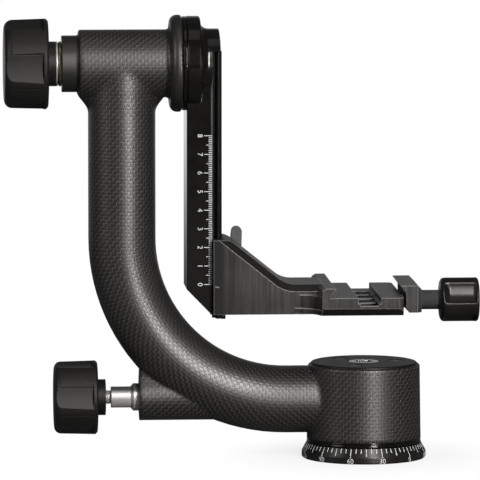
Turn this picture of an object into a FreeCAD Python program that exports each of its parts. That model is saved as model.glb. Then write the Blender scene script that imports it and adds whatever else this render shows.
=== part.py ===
import FreeCAD, Part
import math
import os
import re
import Sketcher
from FreeCAD import Placement, Rotation, Vector

# Gimbal tripod head for a long lens.
# Frame: origin on the pan axis at the underside of the base, +Z up, +X along the tilt axis
# towards the clamp knob. The big tilt-lock knob is at -X. All sizes are in millimetres.
# Turned pieces are drawn as (radius, axial place). On the tilt, pan-lock and clamp axes the
# axial place is the X coordinate, because their bodies are laid over with local Z along +X.

doc = FreeCAD.newDocument("gimbal_tripod_head")
sheet = doc.addObject("Spreadsheet::Sheet", "Sizes")

sizes = {
    "main axes": {
        "tilt_height": 213.5,
        "column_offset": 130.6,
        "bend_radius": 88.0,
        "foot_height": 31.6,
        "lock_height": 33.4,
    },
    "fits": {
        "fit_gap": 0.05,
        "slide_gap": 0.06,
        "turn_gap": 0.3,
    },
    "grips": {
        "flute_count": 5,
    },
    "carbon body": {
        "column_radius": 18.1,
        "shell_wall": 2.8,
        "tube_radius": 18.25,
        "tube_left": -162.8,
        "collar_radius": 15.2,
        "collar_length": 7.6,
        "shoulder_length": 2.6,
        "flange_face": -98.8,
        "flange_radius": 26.05,
        "flange_rim": 2.3,
        "flange_edge": 1.2,
        "flange_bell": 3.6,
        "flange_neck": 2.7,
        "flange_neck_rise": 2.1,
        "junction_width": 6.2,
        "junction_foot": 26.0,
        "junction_height": 12.0,
        "junction_nose": 5.0,
        "junction_skin": 0.02,
        "boss_face": -121.4,
        "boss_radius": 12.6,
        "boss_crown_radius": 9.0,
        "boss_crown_rise": 6.9,
        "boss_length": 60.0,
        "cup_bottom": 11.0,
        "cup_top": 50.6,
        "cup_foot_wall": 3.4,
        "cup_top_wall": 2.8,
        "cup_edge": 1.2,
        "cup_bore": 27.4,
        "cap_seat": 48.3,
    },
    "base": {
        "plate_radius": 29.6,
        "plate_lip": 1.9,
        "plate_step": 2.4,
        "plate_thickness": 8.2,
        "ring_wall": 3.9,
        "ring_band": 3.5,
        "ring_taper": 2.55,
        "ring_bevel": 0.6,
        "trim_thickness": 2.4,
        "trim_groove": 0.5,
        "thread_radius": 4.7625,
        "thread_depth": 12.0,
        "insert_radius": 7.0,
        "insert_length": 13.6,
        "screw_bevel": 0.6,
        "base_screw_radius": 2.0,
        "base_screw_head": 4.0,
        "base_screw_length": 10.4,
        "base_screw_circle": 17.0,
        "base_screw_count": 3,
    },
    "pan bearing": {
        "spindle_flange": 22.6,
        "spindle_flange_thickness": 2.8,
        "spindle_radius": 10.0,
        "spindle_top": 44.3,
        "pan_ball_radius": 2.0,
        "pan_ball_circle": 15.0,
        "pan_ball_count": 12,
        "pan_race_radius": 20.0,
        "pan_race_thickness": 2.2,
        "pan_race_gap": 2.3,
        "washer_thickness": 1.8,
        "washer_radius": 13.5,
        "centre_head_radius": 8.6,
        "centre_head_height": 5.7,
        "centre_shank": 4.0,
        "centre_shank_length": 16.0,
        "centre_socket": 4.6,
        "centre_socket_depth": 3.6,
        "cap_thickness": 3.4,
        "cap_rim": 1.5,
        "cap_edge": 0.9,
        "cap_screw_circle": 18.0,
        "cap_screw_turn": 10.0,
        "cap_screw_head": 3.9,
        "cap_screw_sink": 2.2,
        "cap_screw_shank": 1.5,
        "cap_screw_length": 8.0,
    },
    "tilt bearings": {
        "sleeve_radius": 13.2,
        "sleeve_bore": 8.6,
        "shaft_radius": 6.0,
        "shaft_left": -184.6,
        "bearing_radius": 10.5,
        "bearing_width": 5.0,
        "bearing_inset": 0.6,
        "tilt_ball_radius": 1.2,
        "tilt_ball_circle": 8.25,
        "tilt_ball_count": 10,
        "tilt_inner_land": 7.5,
        "tilt_outer_land": 9.0,
        "shaft_shoulder": 7.2,
        "shaft_flange": 16.2,
        "spigot_radius": 8.0,
        "spigot_length": 6.2,
        "seal_radius": 25.2,
        "seal_edge": 0.35,
    },
    "swing arm": {
        "arm_left": -96.5,
        "arm_thickness": 13.6,
        "arm_face": -77.6,
        "boss_end": -77.05,
        "arm_half_depth": 15.0,
        "head_radius": 25.4,
        "head_disc": 7.7,
        "head_edge": 0.7,
        "boss_neck_radius": 18.6,
        "flare_length": 4.7,
        "dome_rise": 1.4,
        "arm_cut_top": 93.0,
        "arm_cut_right": -81.0,
        "rail_neck": 10.5,
        "rail_neck_height": 1.7,
        "rail_half_width": 13.5,
        "rail_flare": 1.0,
        "rail_bevel": 1.4,
        "rail_face_half_width": 12.0,
        "rail_foot": 77.0,
        "face_groove": 5.0,
        "face_groove_depth": 1.2,
        "runout_top": 220.8,
        "runout_margin": 1.5,
        "arm_screw_head": 6.5,
        "arm_screw_head_height": 6.0,
        "arm_screw_shank": 4.0,
        "arm_screw_length": 34.0,
        "arm_screw_sink": 0.8,
        "arm_screw_socket": 3.0,
        "stop_screw_gap": 0.25,
        "stop_screw_spread": 7.5,
        "stop_head_radius": 1.7,
        "stop_head_height": 2.2,
        "stop_shank": 1.0,
        "stop_length": 5.0,
    },
    "tilt lock": {
        "brass_washer": 1.3,
        "friction_washer": 0.7,
        "steel_washer": 0.9,
        "tilt_washer_radius": 12.0,
        "friction_inset": 0.7,
        "tilt_collar_radius": 12.0,
        "tilt_collar_length": 4.1,
        "tilt_core_radius": 10.5,
        "tilt_core_depth": 16.0,
        "tilt_knob_radius": 24.3,
        "tilt_knob_length": 23.6,
        "tilt_knob_taper": 0.6,
        "tilt_knob_corner": 4.6,
        "tilt_knob_lip": 1.2,
        "tilt_flute_floor": 22.0,
        "tilt_flute_radius": 49.0,
        "tilt_flute_rim": 2.6,
        "tilt_knob_turn": 1.2,
    },
    "pan lock": {
        "bush_left": -136.7,
        "bush_radius": 5.7,
        "bush_flare_radius": 7.4,
        "bush_flare": 3.4,
        "bush_cone": 1.4,
        "bush_thread": 5.4,
        "bush_thread_length": 17.0,
        "lock_screw_radius": 3.4,
        "lock_screw_tip": -106.0,
        "lock_screw_nose": 4.0,
        "lock_screw_point": 0.6,
        "rod_radius": 3.0,
        "shoe_radius": 5.0,
        "shoe_length": 7.0,
        "shoe_wrap": 1.2,
        "pan_collar_left": -144.2,
        "pan_collar_length": 4.5,
        "pan_collar_radius": 9.7,
        "pan_core_radius": 8.0,
        "pan_core_depth": 16.0,
        "pan_knob_radius": 19.9,
        "pan_knob_length": 23.2,
        "pan_knob_taper": 0.5,
        "pan_knob_corner": 3.6,
        "pan_knob_lip": 1.0,
        "pan_flute_floor": 18.0,
        "pan_flute_radius": 40.0,
        "pan_flute_rim": 2.4,
        "pan_knob_turn": -8.4,
    },
    "platform": {
        "jaw_left": -82.4,
        "jaw_top": 119.8,
        "web_crown": 8.7,
        "web_run": 30.3,
        "web_rise": 5.4,
        "web_depth": 10.45,
        "table_depth": 9.8,
        "table_bevel": 4.0,
        "bracket_half_depth": 20.5,
        "web_high_radius": 8.0,
        "web_low_radius": 14.0,
        "web_chamfer": 3.6,
        "web_overlap": 1.9,
        "rail_gap": 0.25,
        "clamp_half_length": 38.0,
        "clamp_right": 18.3,
        "clamp_corner": 3.0,
        "floor_height": 90.3,
        "plate_drop": 7.1,
        "channel_depth": 3.2,
        "pocket_depth": 4.9,
        "sill_drop": 1.2,
        "lip_rise": 5.1,
        "lip_root_rise": 1.1,
        "scoop_length": 11.5,
        "scoop_radius": 15.0,
        "plate_scoop_length": 13.6,
        "plate_scoop_radius": 17.5,
        "lip_tip": -18.3,
        "lip_root": -21.2,
        "lip_back": -25.4,
        "lip_land": 0.5,
        "lip_bevel": 2.0,
        "lip_bevel_drop": 1.4,
        "channel_left": -6.2,
        "channel_right": 6.1,
        "pocket_left": -5.2,
        "pocket_right": 4.7,
        "pocket_back": 25.0,
        "sill_depth": 4.5,
    },
    "platform lock": {
        "lock_x": -78.9,
        "lock_z": 103.0,
        "gib_inner": 13.55,
        "gib_thickness": 2.8,
        "gib_height": 20.0,
        "gib_play": 0.4,
        "gib_left": -81.4,
        "gib_right": -76.4,
        "lever_screw_radius": 2.6,
        "lever_hub_radius": 6.2,
        "lever_hub_depth": 7.0,
        "lever_arm_depth": 4.6,
        "lever_elbow_x": -68.4,
        "lever_elbow_z": 107.0,
        "lever_tip_x": -67.4,
        "lever_tip_z": 120.2,
        "lever_elbow_radius": 3.6,
        "lever_tip_radius": 2.9,
        "lever_neck": 4.6,
        "cap_shank": 1.6,
        "lever_cap_radius": 4.2,
        "lever_cap_height": 1.6,
    },
    "moving jaw": {
        "jaw_tip": 17.9,
        "jaw_root": 20.6,
        "jaw_outer": 29.0,
        "clamp_axis_drop": 5.3,
        "jaw_foot_drop": 9.4,
        "jaw_bevel": 2.2,
        "jaw_foot_bevel": 1.6,
        "jaw_half_length": 26.0,
        "jaw_end_chamfer": 2.3,
        "pin_radius": 2.0,
        "pin_spread": 19.0,
        "pin_left": -10.4,
        "pin_right": 26.0,
        "clamp_screw_radius": 2.5,
        "clamp_screw_left": -13.0,
        "clamp_screw_hold": 20.0,
        "jaw_close": 2.0,
        "clip_radius": 4.3,
        "clip_thickness": 0.9,
        "stem_radius": 5.25,
        "clamp_knob_left": 41.0,
        "clamp_knob_length": 20.8,
        "clamp_knob_radius": 12.1,
        "clamp_knob_corner": 3.4,
        "clamp_knob_edge": 0.9,
        "clamp_flute_floor": 10.7,
        "clamp_flute_radius": 24.0,
        "clamp_flute_rim": 2.0,
        "clamp_knob_turn": -22.0,
    },
}

# Sizes that follow from others, so a piece keeps its wall or its depth when a main size changes.
derived = {
    "plate_core_radius": "plate_radius - plate_step",
    "ring_radius": "plate_radius + ring_wall",
    "ring_top_radius": "plate_radius + ring_wall - ring_taper",
    "cup_foot_radius": "cup_bore + cup_foot_wall",
    "cup_top_radius": "cup_bore + cup_top_wall",
    "cap_radius": "cup_bore + cup_top_wall - cap_rim",
    "web_high": "jaw_left + web_crown",
    "web_low": "jaw_left + web_crown + web_run",
    "web_top": "floor_height + web_rise",
    "web_bottom": "floor_height - web_depth",
    "stop_screw_height": "floor_height - web_depth - stop_screw_gap - stop_head_radius",
    "table_bottom": "floor_height - table_depth",
    "plate_height": "floor_height - plate_drop",
    "channel_floor": "floor_height - channel_depth",
    "pocket_floor": "floor_height - channel_depth - pocket_depth",
    "sill_height": "floor_height - channel_depth - sill_drop",
    "lip_top": "floor_height + lip_rise",
    "lip_root_height": "floor_height + lip_root_rise",
    "clamp_axis": "floor_height - clamp_axis_drop",
    "jaw_foot": "floor_height - jaw_foot_drop",
}

row = 0
for group, entries in list(sizes.items()) + [("derived sizes", derived)]:
    row += 1
    sheet.set(f"A{row}", group)
    for alias, entry in entries.items():
        row += 1
        sheet.set(f"A{row}", alias)
        sheet.set(f"B{row}", f"={entry}" if isinstance(entry, str) else str(entry))
        sheet.setAlias(f"B{row}", alias)
doc.recompute()


def value(expression):
    """Number that an expression of the sheet's sizes gives."""
    return float(sheet.evalExpression(expression))


def bound(expression):
    """The same expression as another object has to write it, with the sheet's name."""
    return re.sub(r"\b[a-z][a-z0-9_]*\b(?!\()", lambda word: "Sizes." + word.group(0), expression)


def newBody(label, along="Z", height="0", side="0"):
    """A body at the origin, or one whose local Z is laid along +X or +Y at a height."""
    body = doc.addObject("PartDesign::Body", label)
    body.Label = label
    body.AllowCompound = True
    if along == "X":
        body.Placement = Placement(Vector(0, 0, 0), Rotation(Vector(0, 1, 0), 90))
        body.setExpression(".Placement.Base.z", bound(height))
    if along == "Y":
        body.Placement = Placement(Vector(0, 0, 0), Rotation(Vector(1, 0, 0), -90))
        body.setExpression(".Placement.Base.x", bound(side))
        body.setExpression(".Placement.Base.z", bound(height))
    return body


def newSketch(body, role, name, lift="0"):
    """A sketch on one of the body's own origin planes, lifted off it along its normal."""
    plane = next(item for item in body.Origin.OriginFeatures if item.Role == role)
    sketch = body.newObject("Sketcher::SketchObject", name)
    sketch.AttachmentSupport = [(plane, "")]
    sketch.MapMode = "FlatFace"
    sketch.setExpression(".AttachmentOffset.Base.z", bound(lift))
    return sketch


def pin(sketch, geometry, point, place):
    """Binds one sketch point to two expressions."""
    for kind, expression in zip(("DistanceX", "DistanceY"), place):
        index = sketch.addConstraint(
            Sketcher.Constraint(kind, -1, 1, geometry, point, value(expression)))
        sketch.setExpression(f"Constraints[{index}]", bound(expression))


def drawLoop(sketch, corners, closed=True):
    """An outline. A corner is (x, y), or (x, y, radius) to reach the next corner by an arc:
    a positive radius bends to the left of the way there, a negative one to the right."""
    spots = [Vector(value(corner[0]), value(corner[1]), 0) for corner in corners]
    first = sketch.GeometryCount
    runs = corners if closed else corners[:-1]
    ends = []
    for index, corner in enumerate(runs):
        start = spots[index]
        stop = spots[(index + 1) % len(corners)]
        if len(corner) == 2:
            sketch.addGeometry(Part.LineSegment(start, stop), False)
            ends.append((1, 2))
            continue
        radius = abs(value(corner[2]))
        leftward = value(corner[2]) > 0
        chord = stop - start
        rise = math.sqrt(max(radius ** 2 - (chord.Length / 2) ** 2, 0))
        normal = Vector(-chord.y, chord.x, 0).normalize()
        centre = (start + stop) * 0.5 + normal * (rise if leftward else -rise)
        begin, finish = (start, stop) if leftward else (stop, start)
        angles = [math.atan2(spot.y - centre.y, spot.x - centre.x) for spot in (begin, finish)]
        if angles[1] < angles[0]:
            angles[1] += 2 * math.pi
        circle = Part.Circle(centre, Vector(0, 0, 1), radius)
        sketch.addGeometry(Part.ArcOfCircle(circle, angles[0], angles[1]), False)
        ends.append((1, 2) if leftward else (2, 1))
    joints = len(runs) if closed else len(runs) - 1
    sketch.addConstraint([
        Sketcher.Constraint("Coincident", first + index, ends[index][1],
                            first + (index + 1) % len(runs), ends[(index + 1) % len(runs)][0])
        for index in range(joints)])
    for index, corner in enumerate(runs):
        pin(sketch, first + index, ends[index][0], corner[:2])
        if len(corner) == 3:
            size = corner[2].lstrip("-")
            number = sketch.addConstraint(
                Sketcher.Constraint("Radius", first + index, value(size)))
            sketch.setExpression(f"Constraints[{number}]", bound(size))
    if not closed:
        pin(sketch, first + len(runs) - 1, ends[-1][1], corners[-1][:2])


def drawCircle(sketch, x, y, radius):
    circle = Part.Circle(Vector(value(x), value(y), 0), Vector(0, 0, 1), value(radius))
    geometry = sketch.addGeometry(circle, False)
    pin(sketch, geometry, 3, (x, y))
    number = sketch.addConstraint(Sketcher.Constraint("Radius", geometry, value(radius)))
    sketch.setExpression(f"Constraints[{number}]", bound(radius))


def drawAxis(sketch, start, stop):
    """A construction line for a revolution to turn about."""
    line = Part.LineSegment(Vector(value(start[0]), value(start[1]), 0),
                            Vector(value(stop[0]), value(stop[1]), 0))
    geometry = sketch.addGeometry(line, True)
    pin(sketch, geometry, 1, start)
    pin(sketch, geometry, 2, stop)


def revolve(body, sketch, name, kind="Revolution", axis="V_Axis"):
    feature = body.newObject("PartDesign::" + kind, name)
    feature.Profile = sketch
    feature.ReferenceAxis = (sketch, [axis])
    feature.Angle = 360
    sketch.Visibility = False
    return feature


def pad(body, sketch, name, length, kind="Pad", midplane=False, reverse=False):
    feature = body.newObject("PartDesign::" + kind, name)
    feature.Profile = sketch
    feature.SideType = "Symmetric" if midplane else "One side"
    feature.Reversed = reverse
    feature.setExpression("Length", bound(length))
    sketch.Visibility = False
    return feature


def polar(body, feature, name, count, axis="Z_Axis"):
    line = next(item for item in body.Origin.OriginFeatures if item.Role == axis)
    pattern = body.newObject("PartDesign::PolarPattern", name)
    pattern.Originals = [feature]
    pattern.Axis = (line, [""])
    pattern.Angle = 360
    pattern.Occurrences = int(value(count))
    pattern.setExpression("Occurrences", bound(count))
    body.Tip = pattern
    return pattern


def edgesWhere(feature, wanted):
    doc.recompute()
    return [f"Edge{number}" for number, edge in enumerate(feature.Shape.Edges, 1) if wanted(edge)]


# How close an edge has to be to the place that it is looked for at.
nearness = 0.01


def dress(body, kind, feature, name, size, wanted):
    """Rounds or bevels the edges of a feature that the test picks out."""
    names = edgesWhere(feature, wanted)
    dressing = body.newObject("PartDesign::" + kind, name)
    dressing.Base = (feature, names)
    dressing.setExpression("Radius" if kind == "Fillet" else "Size", bound(size))
    return dressing


def turned(label, corners, along="Z", height="0", side="0"):
    """A turned piece: one closed outline revolved about the body's own Z axis."""
    body = newBody(label, along, height, side)
    sketch = newSketch(body, "XZ_Plane", label + "_outline")
    drawLoop(sketch, corners)
    revolve(body, sketch, label + "_turning")
    return body


def ring(inner, outer, bottom, top):
    return [(inner, bottom), (outer, bottom), (outer, top), (inner, top)]


# Base, fixed to the tripod.

plate = turned("base_plate", [
    ("insert_radius + fit_gap", "0"),
    ("plate_radius", "0"),
    ("plate_radius", "plate_lip"),
    ("plate_core_radius", "plate_lip"),
    ("plate_core_radius", "plate_thickness"),
    ("insert_radius + fit_gap", "plate_thickness"),
])


def screwOutline(margin, top):
    """Half section of a countersunk screw, point up, with a margin all round."""
    return [
        ("base_screw_circle", f"fit_gap - {margin}"),
        (f"base_screw_circle + base_screw_head + {margin}", f"fit_gap - {margin}"),
        (f"base_screw_circle + base_screw_radius + {margin}",
         "fit_gap + base_screw_head - base_screw_radius"),
        (f"base_screw_circle + base_screw_radius + {margin}", top),
        ("base_screw_circle", top),
    ]


def turnedRing(body, name, outline, radius, top, count, kind="Revolution"):
    """Copies of a turned form round the body's own axis, each on its own axis at a radius."""
    sketch = newSketch(body, "XZ_Plane", name + "_outline")
    drawAxis(sketch, (radius, "0"), (radius, top))
    drawLoop(sketch, outline)
    feature = revolve(body, sketch, name + "_turning", kind, "Axis0")
    return polar(body, feature, name + "_ring", count)


turnedRing(plate, "screw_hole", screwOutline("fit_gap", "plate_thickness + turn_gap"),
           "base_screw_circle", "plate_thickness", "base_screw_count", "Groove")

turned("degree_ring", [
    ("plate_radius + fit_gap", "0"),
    ("ring_radius - ring_bevel", "0"),
    ("ring_radius", "ring_bevel"),
    ("ring_radius", "ring_band"),
    ("ring_top_radius", "plate_thickness"),
    ("plate_core_radius + fit_gap", "plate_thickness"),
    ("plate_core_radius + fit_gap", "plate_lip + fit_gap"),
    ("plate_radius + fit_gap", "plate_lip + fit_gap"),
])

turned("tripod_thread_insert", [
    ("thread_radius", "0"),
    ("insert_radius", "0"),
    ("insert_radius", "insert_length"),
    ("0", "insert_length"),
    ("0", "thread_depth"),
    ("thread_radius", "thread_depth"),
])

screws = newBody("base_plate_screws")
turnedRing(screws, "screw", screwOutline("0", "base_screw_length"),
           "base_screw_circle", "base_screw_length", "base_screw_count")

flangeTop = "plate_thickness + spindle_flange_thickness"
spindle = turned("pan_spindle", [
    ("insert_radius + fit_gap", "plate_thickness"),
    ("spindle_flange", "plate_thickness"),
    ("spindle_flange", flangeTop),
    ("spindle_radius", flangeTop),
    ("spindle_radius", "spindle_top"),
    ("centre_shank + fit_gap", "spindle_top"),
    ("centre_shank + fit_gap", "spindle_top + washer_thickness - centre_shank_length - turn_gap"),
    ("0", "spindle_top + washer_thickness - centre_shank_length - turn_gap"),
    ("0", "insert_length + fit_gap"),
    ("insert_radius + fit_gap", "insert_length + fit_gap"),
])
holes = newSketch(spindle, "XY_Plane", "screw_holes", "plate_thickness")
for turn in (0, 120, 240):
    drawCircle(holes, f"base_screw_circle * cos({turn})", f"base_screw_circle * sin({turn})",
               "base_screw_radius + fit_gap")
pad(spindle, holes, "screw_drilling", "base_screw_length - plate_thickness + fit_gap", "Pocket",
    reverse=True)

# Pan bearing and hub.

lowerRaceTop = f"{flangeTop} + pan_race_thickness"
upperRaceBottom = f"{lowerRaceTop} + pan_race_gap"
upperRaceTop = f"{upperRaceBottom} + pan_race_thickness"
panGrooveHalf = "sqrt((pan_ball_radius + fit_gap)^2 - (pan_race_gap / 2)^2)"
panGroove = "(pan_ball_radius + fit_gap)"

turned("pan_lower_race", [
    ("spindle_radius + fit_gap", flangeTop),
    ("pan_race_radius - turn_gap", flangeTop),
    ("pan_race_radius - turn_gap", lowerRaceTop),
    (f"pan_ball_circle + {panGrooveHalf}", lowerRaceTop, "-" + panGroove),
    (f"pan_ball_circle - {panGrooveHalf}", lowerRaceTop),
    ("spindle_radius + fit_gap", lowerRaceTop),
])
turned("pan_upper_race", [
    ("spindle_radius + turn_gap", upperRaceBottom),
    (f"pan_ball_circle - {panGrooveHalf}", upperRaceBottom, "-" + panGroove),
    (f"pan_ball_circle + {panGrooveHalf}", upperRaceBottom),
    ("pan_race_radius", upperRaceBottom),
    ("pan_race_radius", upperRaceTop),
    ("spindle_radius + turn_gap", upperRaceTop),
])


def ballRing(label, circle, radius, count, middle, along="Z", height="0"):
    """Loose balls on a circle round the body's own axis."""
    body = newBody(label, along, height)
    outline = [
        (circle, f"{middle} - {radius}", radius),
        (f"{circle} + {radius}", middle, radius),
        (circle, f"{middle} + {radius}"),
    ]
    turnedRing(body, "ball", outline, circle, f"{middle} + {radius}", count)
    return body


ballRing("pan_bearing_balls", "pan_ball_circle", "pan_ball_radius", "pan_ball_count",
         f"{lowerRaceTop} + pan_race_gap / 2")

turned("spindle_washer", ring("centre_shank + fit_gap", "washer_radius", "spindle_top",
                              "spindle_top + washer_thickness"))

headBottom = "spindle_top + washer_thickness"
centreScrew = turned("centre_screw", [
    ("0", f"{headBottom} - centre_shank_length"),
    ("centre_shank", f"{headBottom} - centre_shank_length"),
    ("centre_shank", headBottom),
    ("centre_head_radius", headBottom),
    ("centre_head_radius", f"{headBottom} + centre_head_height - screw_bevel"),
    ("centre_head_radius - screw_bevel", f"{headBottom} + centre_head_height"),
    ("0", f"{headBottom} + centre_head_height"),
])


def drawHexagon(sketch, half):
    drawLoop(sketch, [(f"{half} / cos(30) * cos({turn})", f"{half} / cos(30) * sin({turn})")
                      for turn in range(0, 360, 60)])


socket = newSketch(centreScrew, "XY_Plane", "socket", f"{headBottom} + centre_head_height")
drawHexagon(socket, "centre_socket")
pad(centreScrew, socket, "socket_cut", "centre_socket_depth", "Pocket")

hub = turned("pan_hub", [
    ("pan_race_radius + fit_gap", "cup_bottom + turn_gap"),
    ("cup_bore - fit_gap", "cup_bottom + turn_gap"),
    ("cup_bore - fit_gap", "cap_seat"),
    ("washer_radius + turn_gap", "cap_seat"),
    ("washer_radius + turn_gap", "spindle_top - turn_gap"),
    ("spindle_radius + fit_gap", "spindle_top - turn_gap"),
    ("spindle_radius + fit_gap", upperRaceTop),
    ("pan_race_radius + fit_gap", upperRaceTop),
])
bore = newSketch(hub, "YZ_Plane", "brake_bore")
drawCircle(bore, "0", "lock_height", "shoe_radius + fit_gap")
pad(hub, bore, "brake_boring", "cup_bore + turn_gap", "Pocket")


def capScrewCircles(body, name, radius, lift):
    sketch = newSketch(body, "XY_Plane", name, lift)
    for turn in (0, 120, 240):
        drawCircle(sketch, f"cap_screw_circle * cos(cap_screw_turn + {turn})",
                   f"cap_screw_circle * sin(cap_screw_turn + {turn})", radius)
    return sketch


tapped = capScrewCircles(hub, "cap_screw_holes", "cap_screw_shank + fit_gap", "cap_seat")
pad(hub, tapped, "cap_screw_tapping", "cap_screw_length", "Pocket")

cap = turned("base_cap", [
    ("centre_head_radius + turn_gap", "cap_seat"),
    ("cap_radius", "cap_seat"),
    ("cap_radius", "cap_seat + cap_thickness - cap_edge", "cap_edge"),
    ("cap_radius - cap_edge", "cap_seat + cap_thickness"),
    ("centre_head_radius + turn_gap", "cap_seat + cap_thickness"),
])
sinks = capScrewCircles(cap, "screw_sinks", "cap_screw_head + turn_gap", "cap_seat + cap_thickness")
pad(cap, sinks, "screw_sinking", "cap_screw_sink", "Pocket")
clears = capScrewCircles(cap, "screw_clearances", "cap_screw_shank + fit_gap",
                         "cap_seat + cap_thickness")
pad(cap, clears, "screw_clearing", "cap_thickness + turn_gap", "Pocket")

capScrews = newBody("base_cap_screws")
sinkFloor = "cap_seat + cap_thickness - cap_screw_sink"
heads = capScrewCircles(capScrews, "heads", "cap_screw_head", sinkFloor)
pad(capScrews, heads, "head_discs", "cap_screw_sink - turn_gap")
shanks = capScrewCircles(capScrews, "shanks", "cap_screw_shank", sinkFloor)
pad(capScrews, shanks, "shank_rods", f"{sinkFloor} - cap_seat + cap_screw_length - turn_gap",
    reverse=True)

turned("base_trim_ring", [
    ("cup_bore", "cup_bottom - trim_thickness"),
    ("cup_foot_radius", "cup_bottom - trim_thickness"),
    ("cup_foot_radius", "cup_bottom - trim_thickness / 2 - trim_groove"),
    ("cup_foot_radius - trim_groove", "cup_bottom - trim_thickness / 2"),
    ("cup_foot_radius", "cup_bottom - trim_thickness / 2 + trim_groove"),
    ("cup_foot_radius", "cup_bottom"),
    ("cup_bore", "cup_bottom"),
])

# Carbon body, turns on the base.

shell = newBody("j_arm_shell")


def bentTube(name, radius, top, right, kind):
    """A round tube down the column, round the bend and along the foot to a right end."""
    section = newSketch(shell, "XY_Plane", name + "_section", top)
    drawCircle(section, "-column_offset", "0", radius)
    path = newSketch(shell, "XZ_Plane", name + "_path")
    drawLoop(path, [
        ("-column_offset", top),
        ("-column_offset", "foot_height + bend_radius", "bend_radius"),
        ("bend_radius - column_offset", "foot_height"),
        (right, "foot_height"),
    ], closed=False)
    pipe = shell.newObject("PartDesign::" + kind, name)
    pipe.Profile = section
    pipe.Spine = (path, ["Edge1", "Edge2", "Edge3"])
    section.Visibility = False
    path.Visibility = False
    return pipe


def curveTo(run, rise):
    """Radius of an arc that starts or ends level and covers a run and a rise."""
    return f"(({run})^2 + ({rise})^2) / (2 * ({rise}))"


bentTube("tube", "column_radius", "tilt_height", "0", "AdditivePipe")

barrel = newSketch(shell, "XZ_Plane", "barrel_outline")
collarEnd = "tube_left + collar_length"
shoulderRise = "(tube_radius - collar_radius)"
shoulder = curveTo("shoulder_length / 2", f"{shoulderRise} / 2")
bellRight = "flange_face - flange_rim"
bellLeft = f"{bellRight} - flange_bell"
bellFoot = "tilt_height + tube_radius + flange_neck_rise"
drawAxis(barrel, ("tube_left", "tilt_height"), ("flange_face", "tilt_height"))
drawLoop(barrel, [
    ("tube_left", "tilt_height"),
    ("tube_left", "tilt_height + collar_radius"),
    (collarEnd, "tilt_height + collar_radius", shoulder),
    (f"{collarEnd} + shoulder_length / 2", f"tilt_height + collar_radius + {shoulderRise} / 2",
     f"-({shoulder})"),
    (f"{collarEnd} + shoulder_length", "tilt_height + tube_radius"),
    (f"{bellLeft} - flange_neck", "tilt_height + tube_radius",
     curveTo("flange_neck", "flange_neck_rise")),
    (bellLeft, bellFoot, "-(" + curveTo(
        "flange_bell", "flange_radius - tube_radius - flange_neck_rise") + ")"),
    (bellRight, "tilt_height + flange_radius"),
    ("flange_face - flange_edge", "tilt_height + flange_radius", "-(flange_edge)"),
    ("flange_face", "tilt_height + flange_radius - flange_edge"),
    ("flange_face", "tilt_height"),
])
revolve(shell, barrel, "barrel", axis="Axis0")



def junctionSection(name, lift, spread):
    """The column's circle with a smaller circle drawn out of it to each side along X."""
    sketch = newSketch(shell, "XY_Plane", name, lift)
    wide = "(column_radius + junction_skin)"
    reach = f"({wide} - junction_nose + junction_skin + {spread})"
    cosine = f"(({wide} - junction_nose) / {reach})"
    sine = f"sqrt(1 - {cosine}^2)"
    quarter = [
        (f"{wide} * {cosine}", f"{wide} * {sine}"),
        (f"{reach} + junction_nose * {cosine}", f"junction_nose * {sine}"),
    ]
    drawLoop(sketch, [
        (f"{quarter[1][0]} - column_offset", f"-({quarter[1][1]})", "junction_nose"),
        (f"{reach} + junction_nose - column_offset", "0", "junction_nose"),
        (f"{quarter[1][0]} - column_offset", quarter[1][1]),
        (f"{quarter[0][0]} - column_offset", quarter[0][1], wide),
        (f"-({quarter[0][0]}) - column_offset", quarter[0][1]),
        (f"-({quarter[1][0]}) - column_offset", quarter[1][1], "junction_nose"),
        (f"-({reach}) - junction_nose - column_offset", "0", "junction_nose"),
        (f"-({quarter[1][0]}) - column_offset", f"-({quarter[1][1]})"),
        (f"-({quarter[0][0]}) - column_offset", f"-({quarter[0][1]})", wide),
        (f"{quarter[0][0]} - column_offset", f"-({quarter[0][1]})"),
    ])
    sketch.Visibility = False
    return sketch


# The laminate swells from the column into the underside of the barrel.
junctionSteps = 6
swell = [(number / junctionSteps, (1 - math.cos(math.pi * number / junctionSteps)) / 2)
         for number in range(junctionSteps + 1)]
sections = [junctionSection(
    f"junction_{number}", f"tilt_height - junction_foot + junction_height * {share}",
    f"junction_width * {spread}")
    for number, (share, spread) in enumerate(swell)]
junction = shell.newObject("PartDesign::AdditiveLoft", "junction")
junction.Profile = sections[0]
junction.Sections = sections[1:]

cup = newSketch(shell, "XZ_Plane", "cup_outline")
drawLoop(cup, [
    ("0", "cup_bottom"),
    ("cup_foot_radius", "cup_bottom"),
    ("cup_top_radius", "cup_top - cup_edge", "cup_edge"),
    ("cup_top_radius - cup_edge", "cup_top"),
    ("0", "cup_top"),
])
revolve(shell, cup, "cup")

eggSine = "(boss_radius - boss_crown_radius) / boss_crown_rise"
eggCosine = f"sqrt(1 - ({eggSine})^2)"
egg = newSketch(shell, "YZ_Plane", "boss_outline", "boss_face")
crownHeight = "lock_height + boss_crown_rise"
drawLoop(egg, [
    (f"boss_crown_radius * {eggCosine}", f"{crownHeight} + boss_crown_radius * {eggSine}",
     "boss_crown_radius"),
    (f"-boss_crown_radius * {eggCosine}", f"{crownHeight} + boss_crown_radius * {eggSine}"),
    (f"-boss_radius * {eggCosine}", f"lock_height + boss_radius * {eggSine}", "boss_radius"),
    ("0", "lock_height - boss_radius", "boss_radius"),
    (f"boss_radius * {eggCosine}", f"lock_height + boss_radius * {eggSine}"),
])
pad(shell, egg, "boss", "boss_length")
bentTube("tube_void", "column_radius - shell_wall", "tilt_height - sleeve_radius - shell_wall",
         "-cup_top_radius", "SubtractivePipe")


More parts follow.
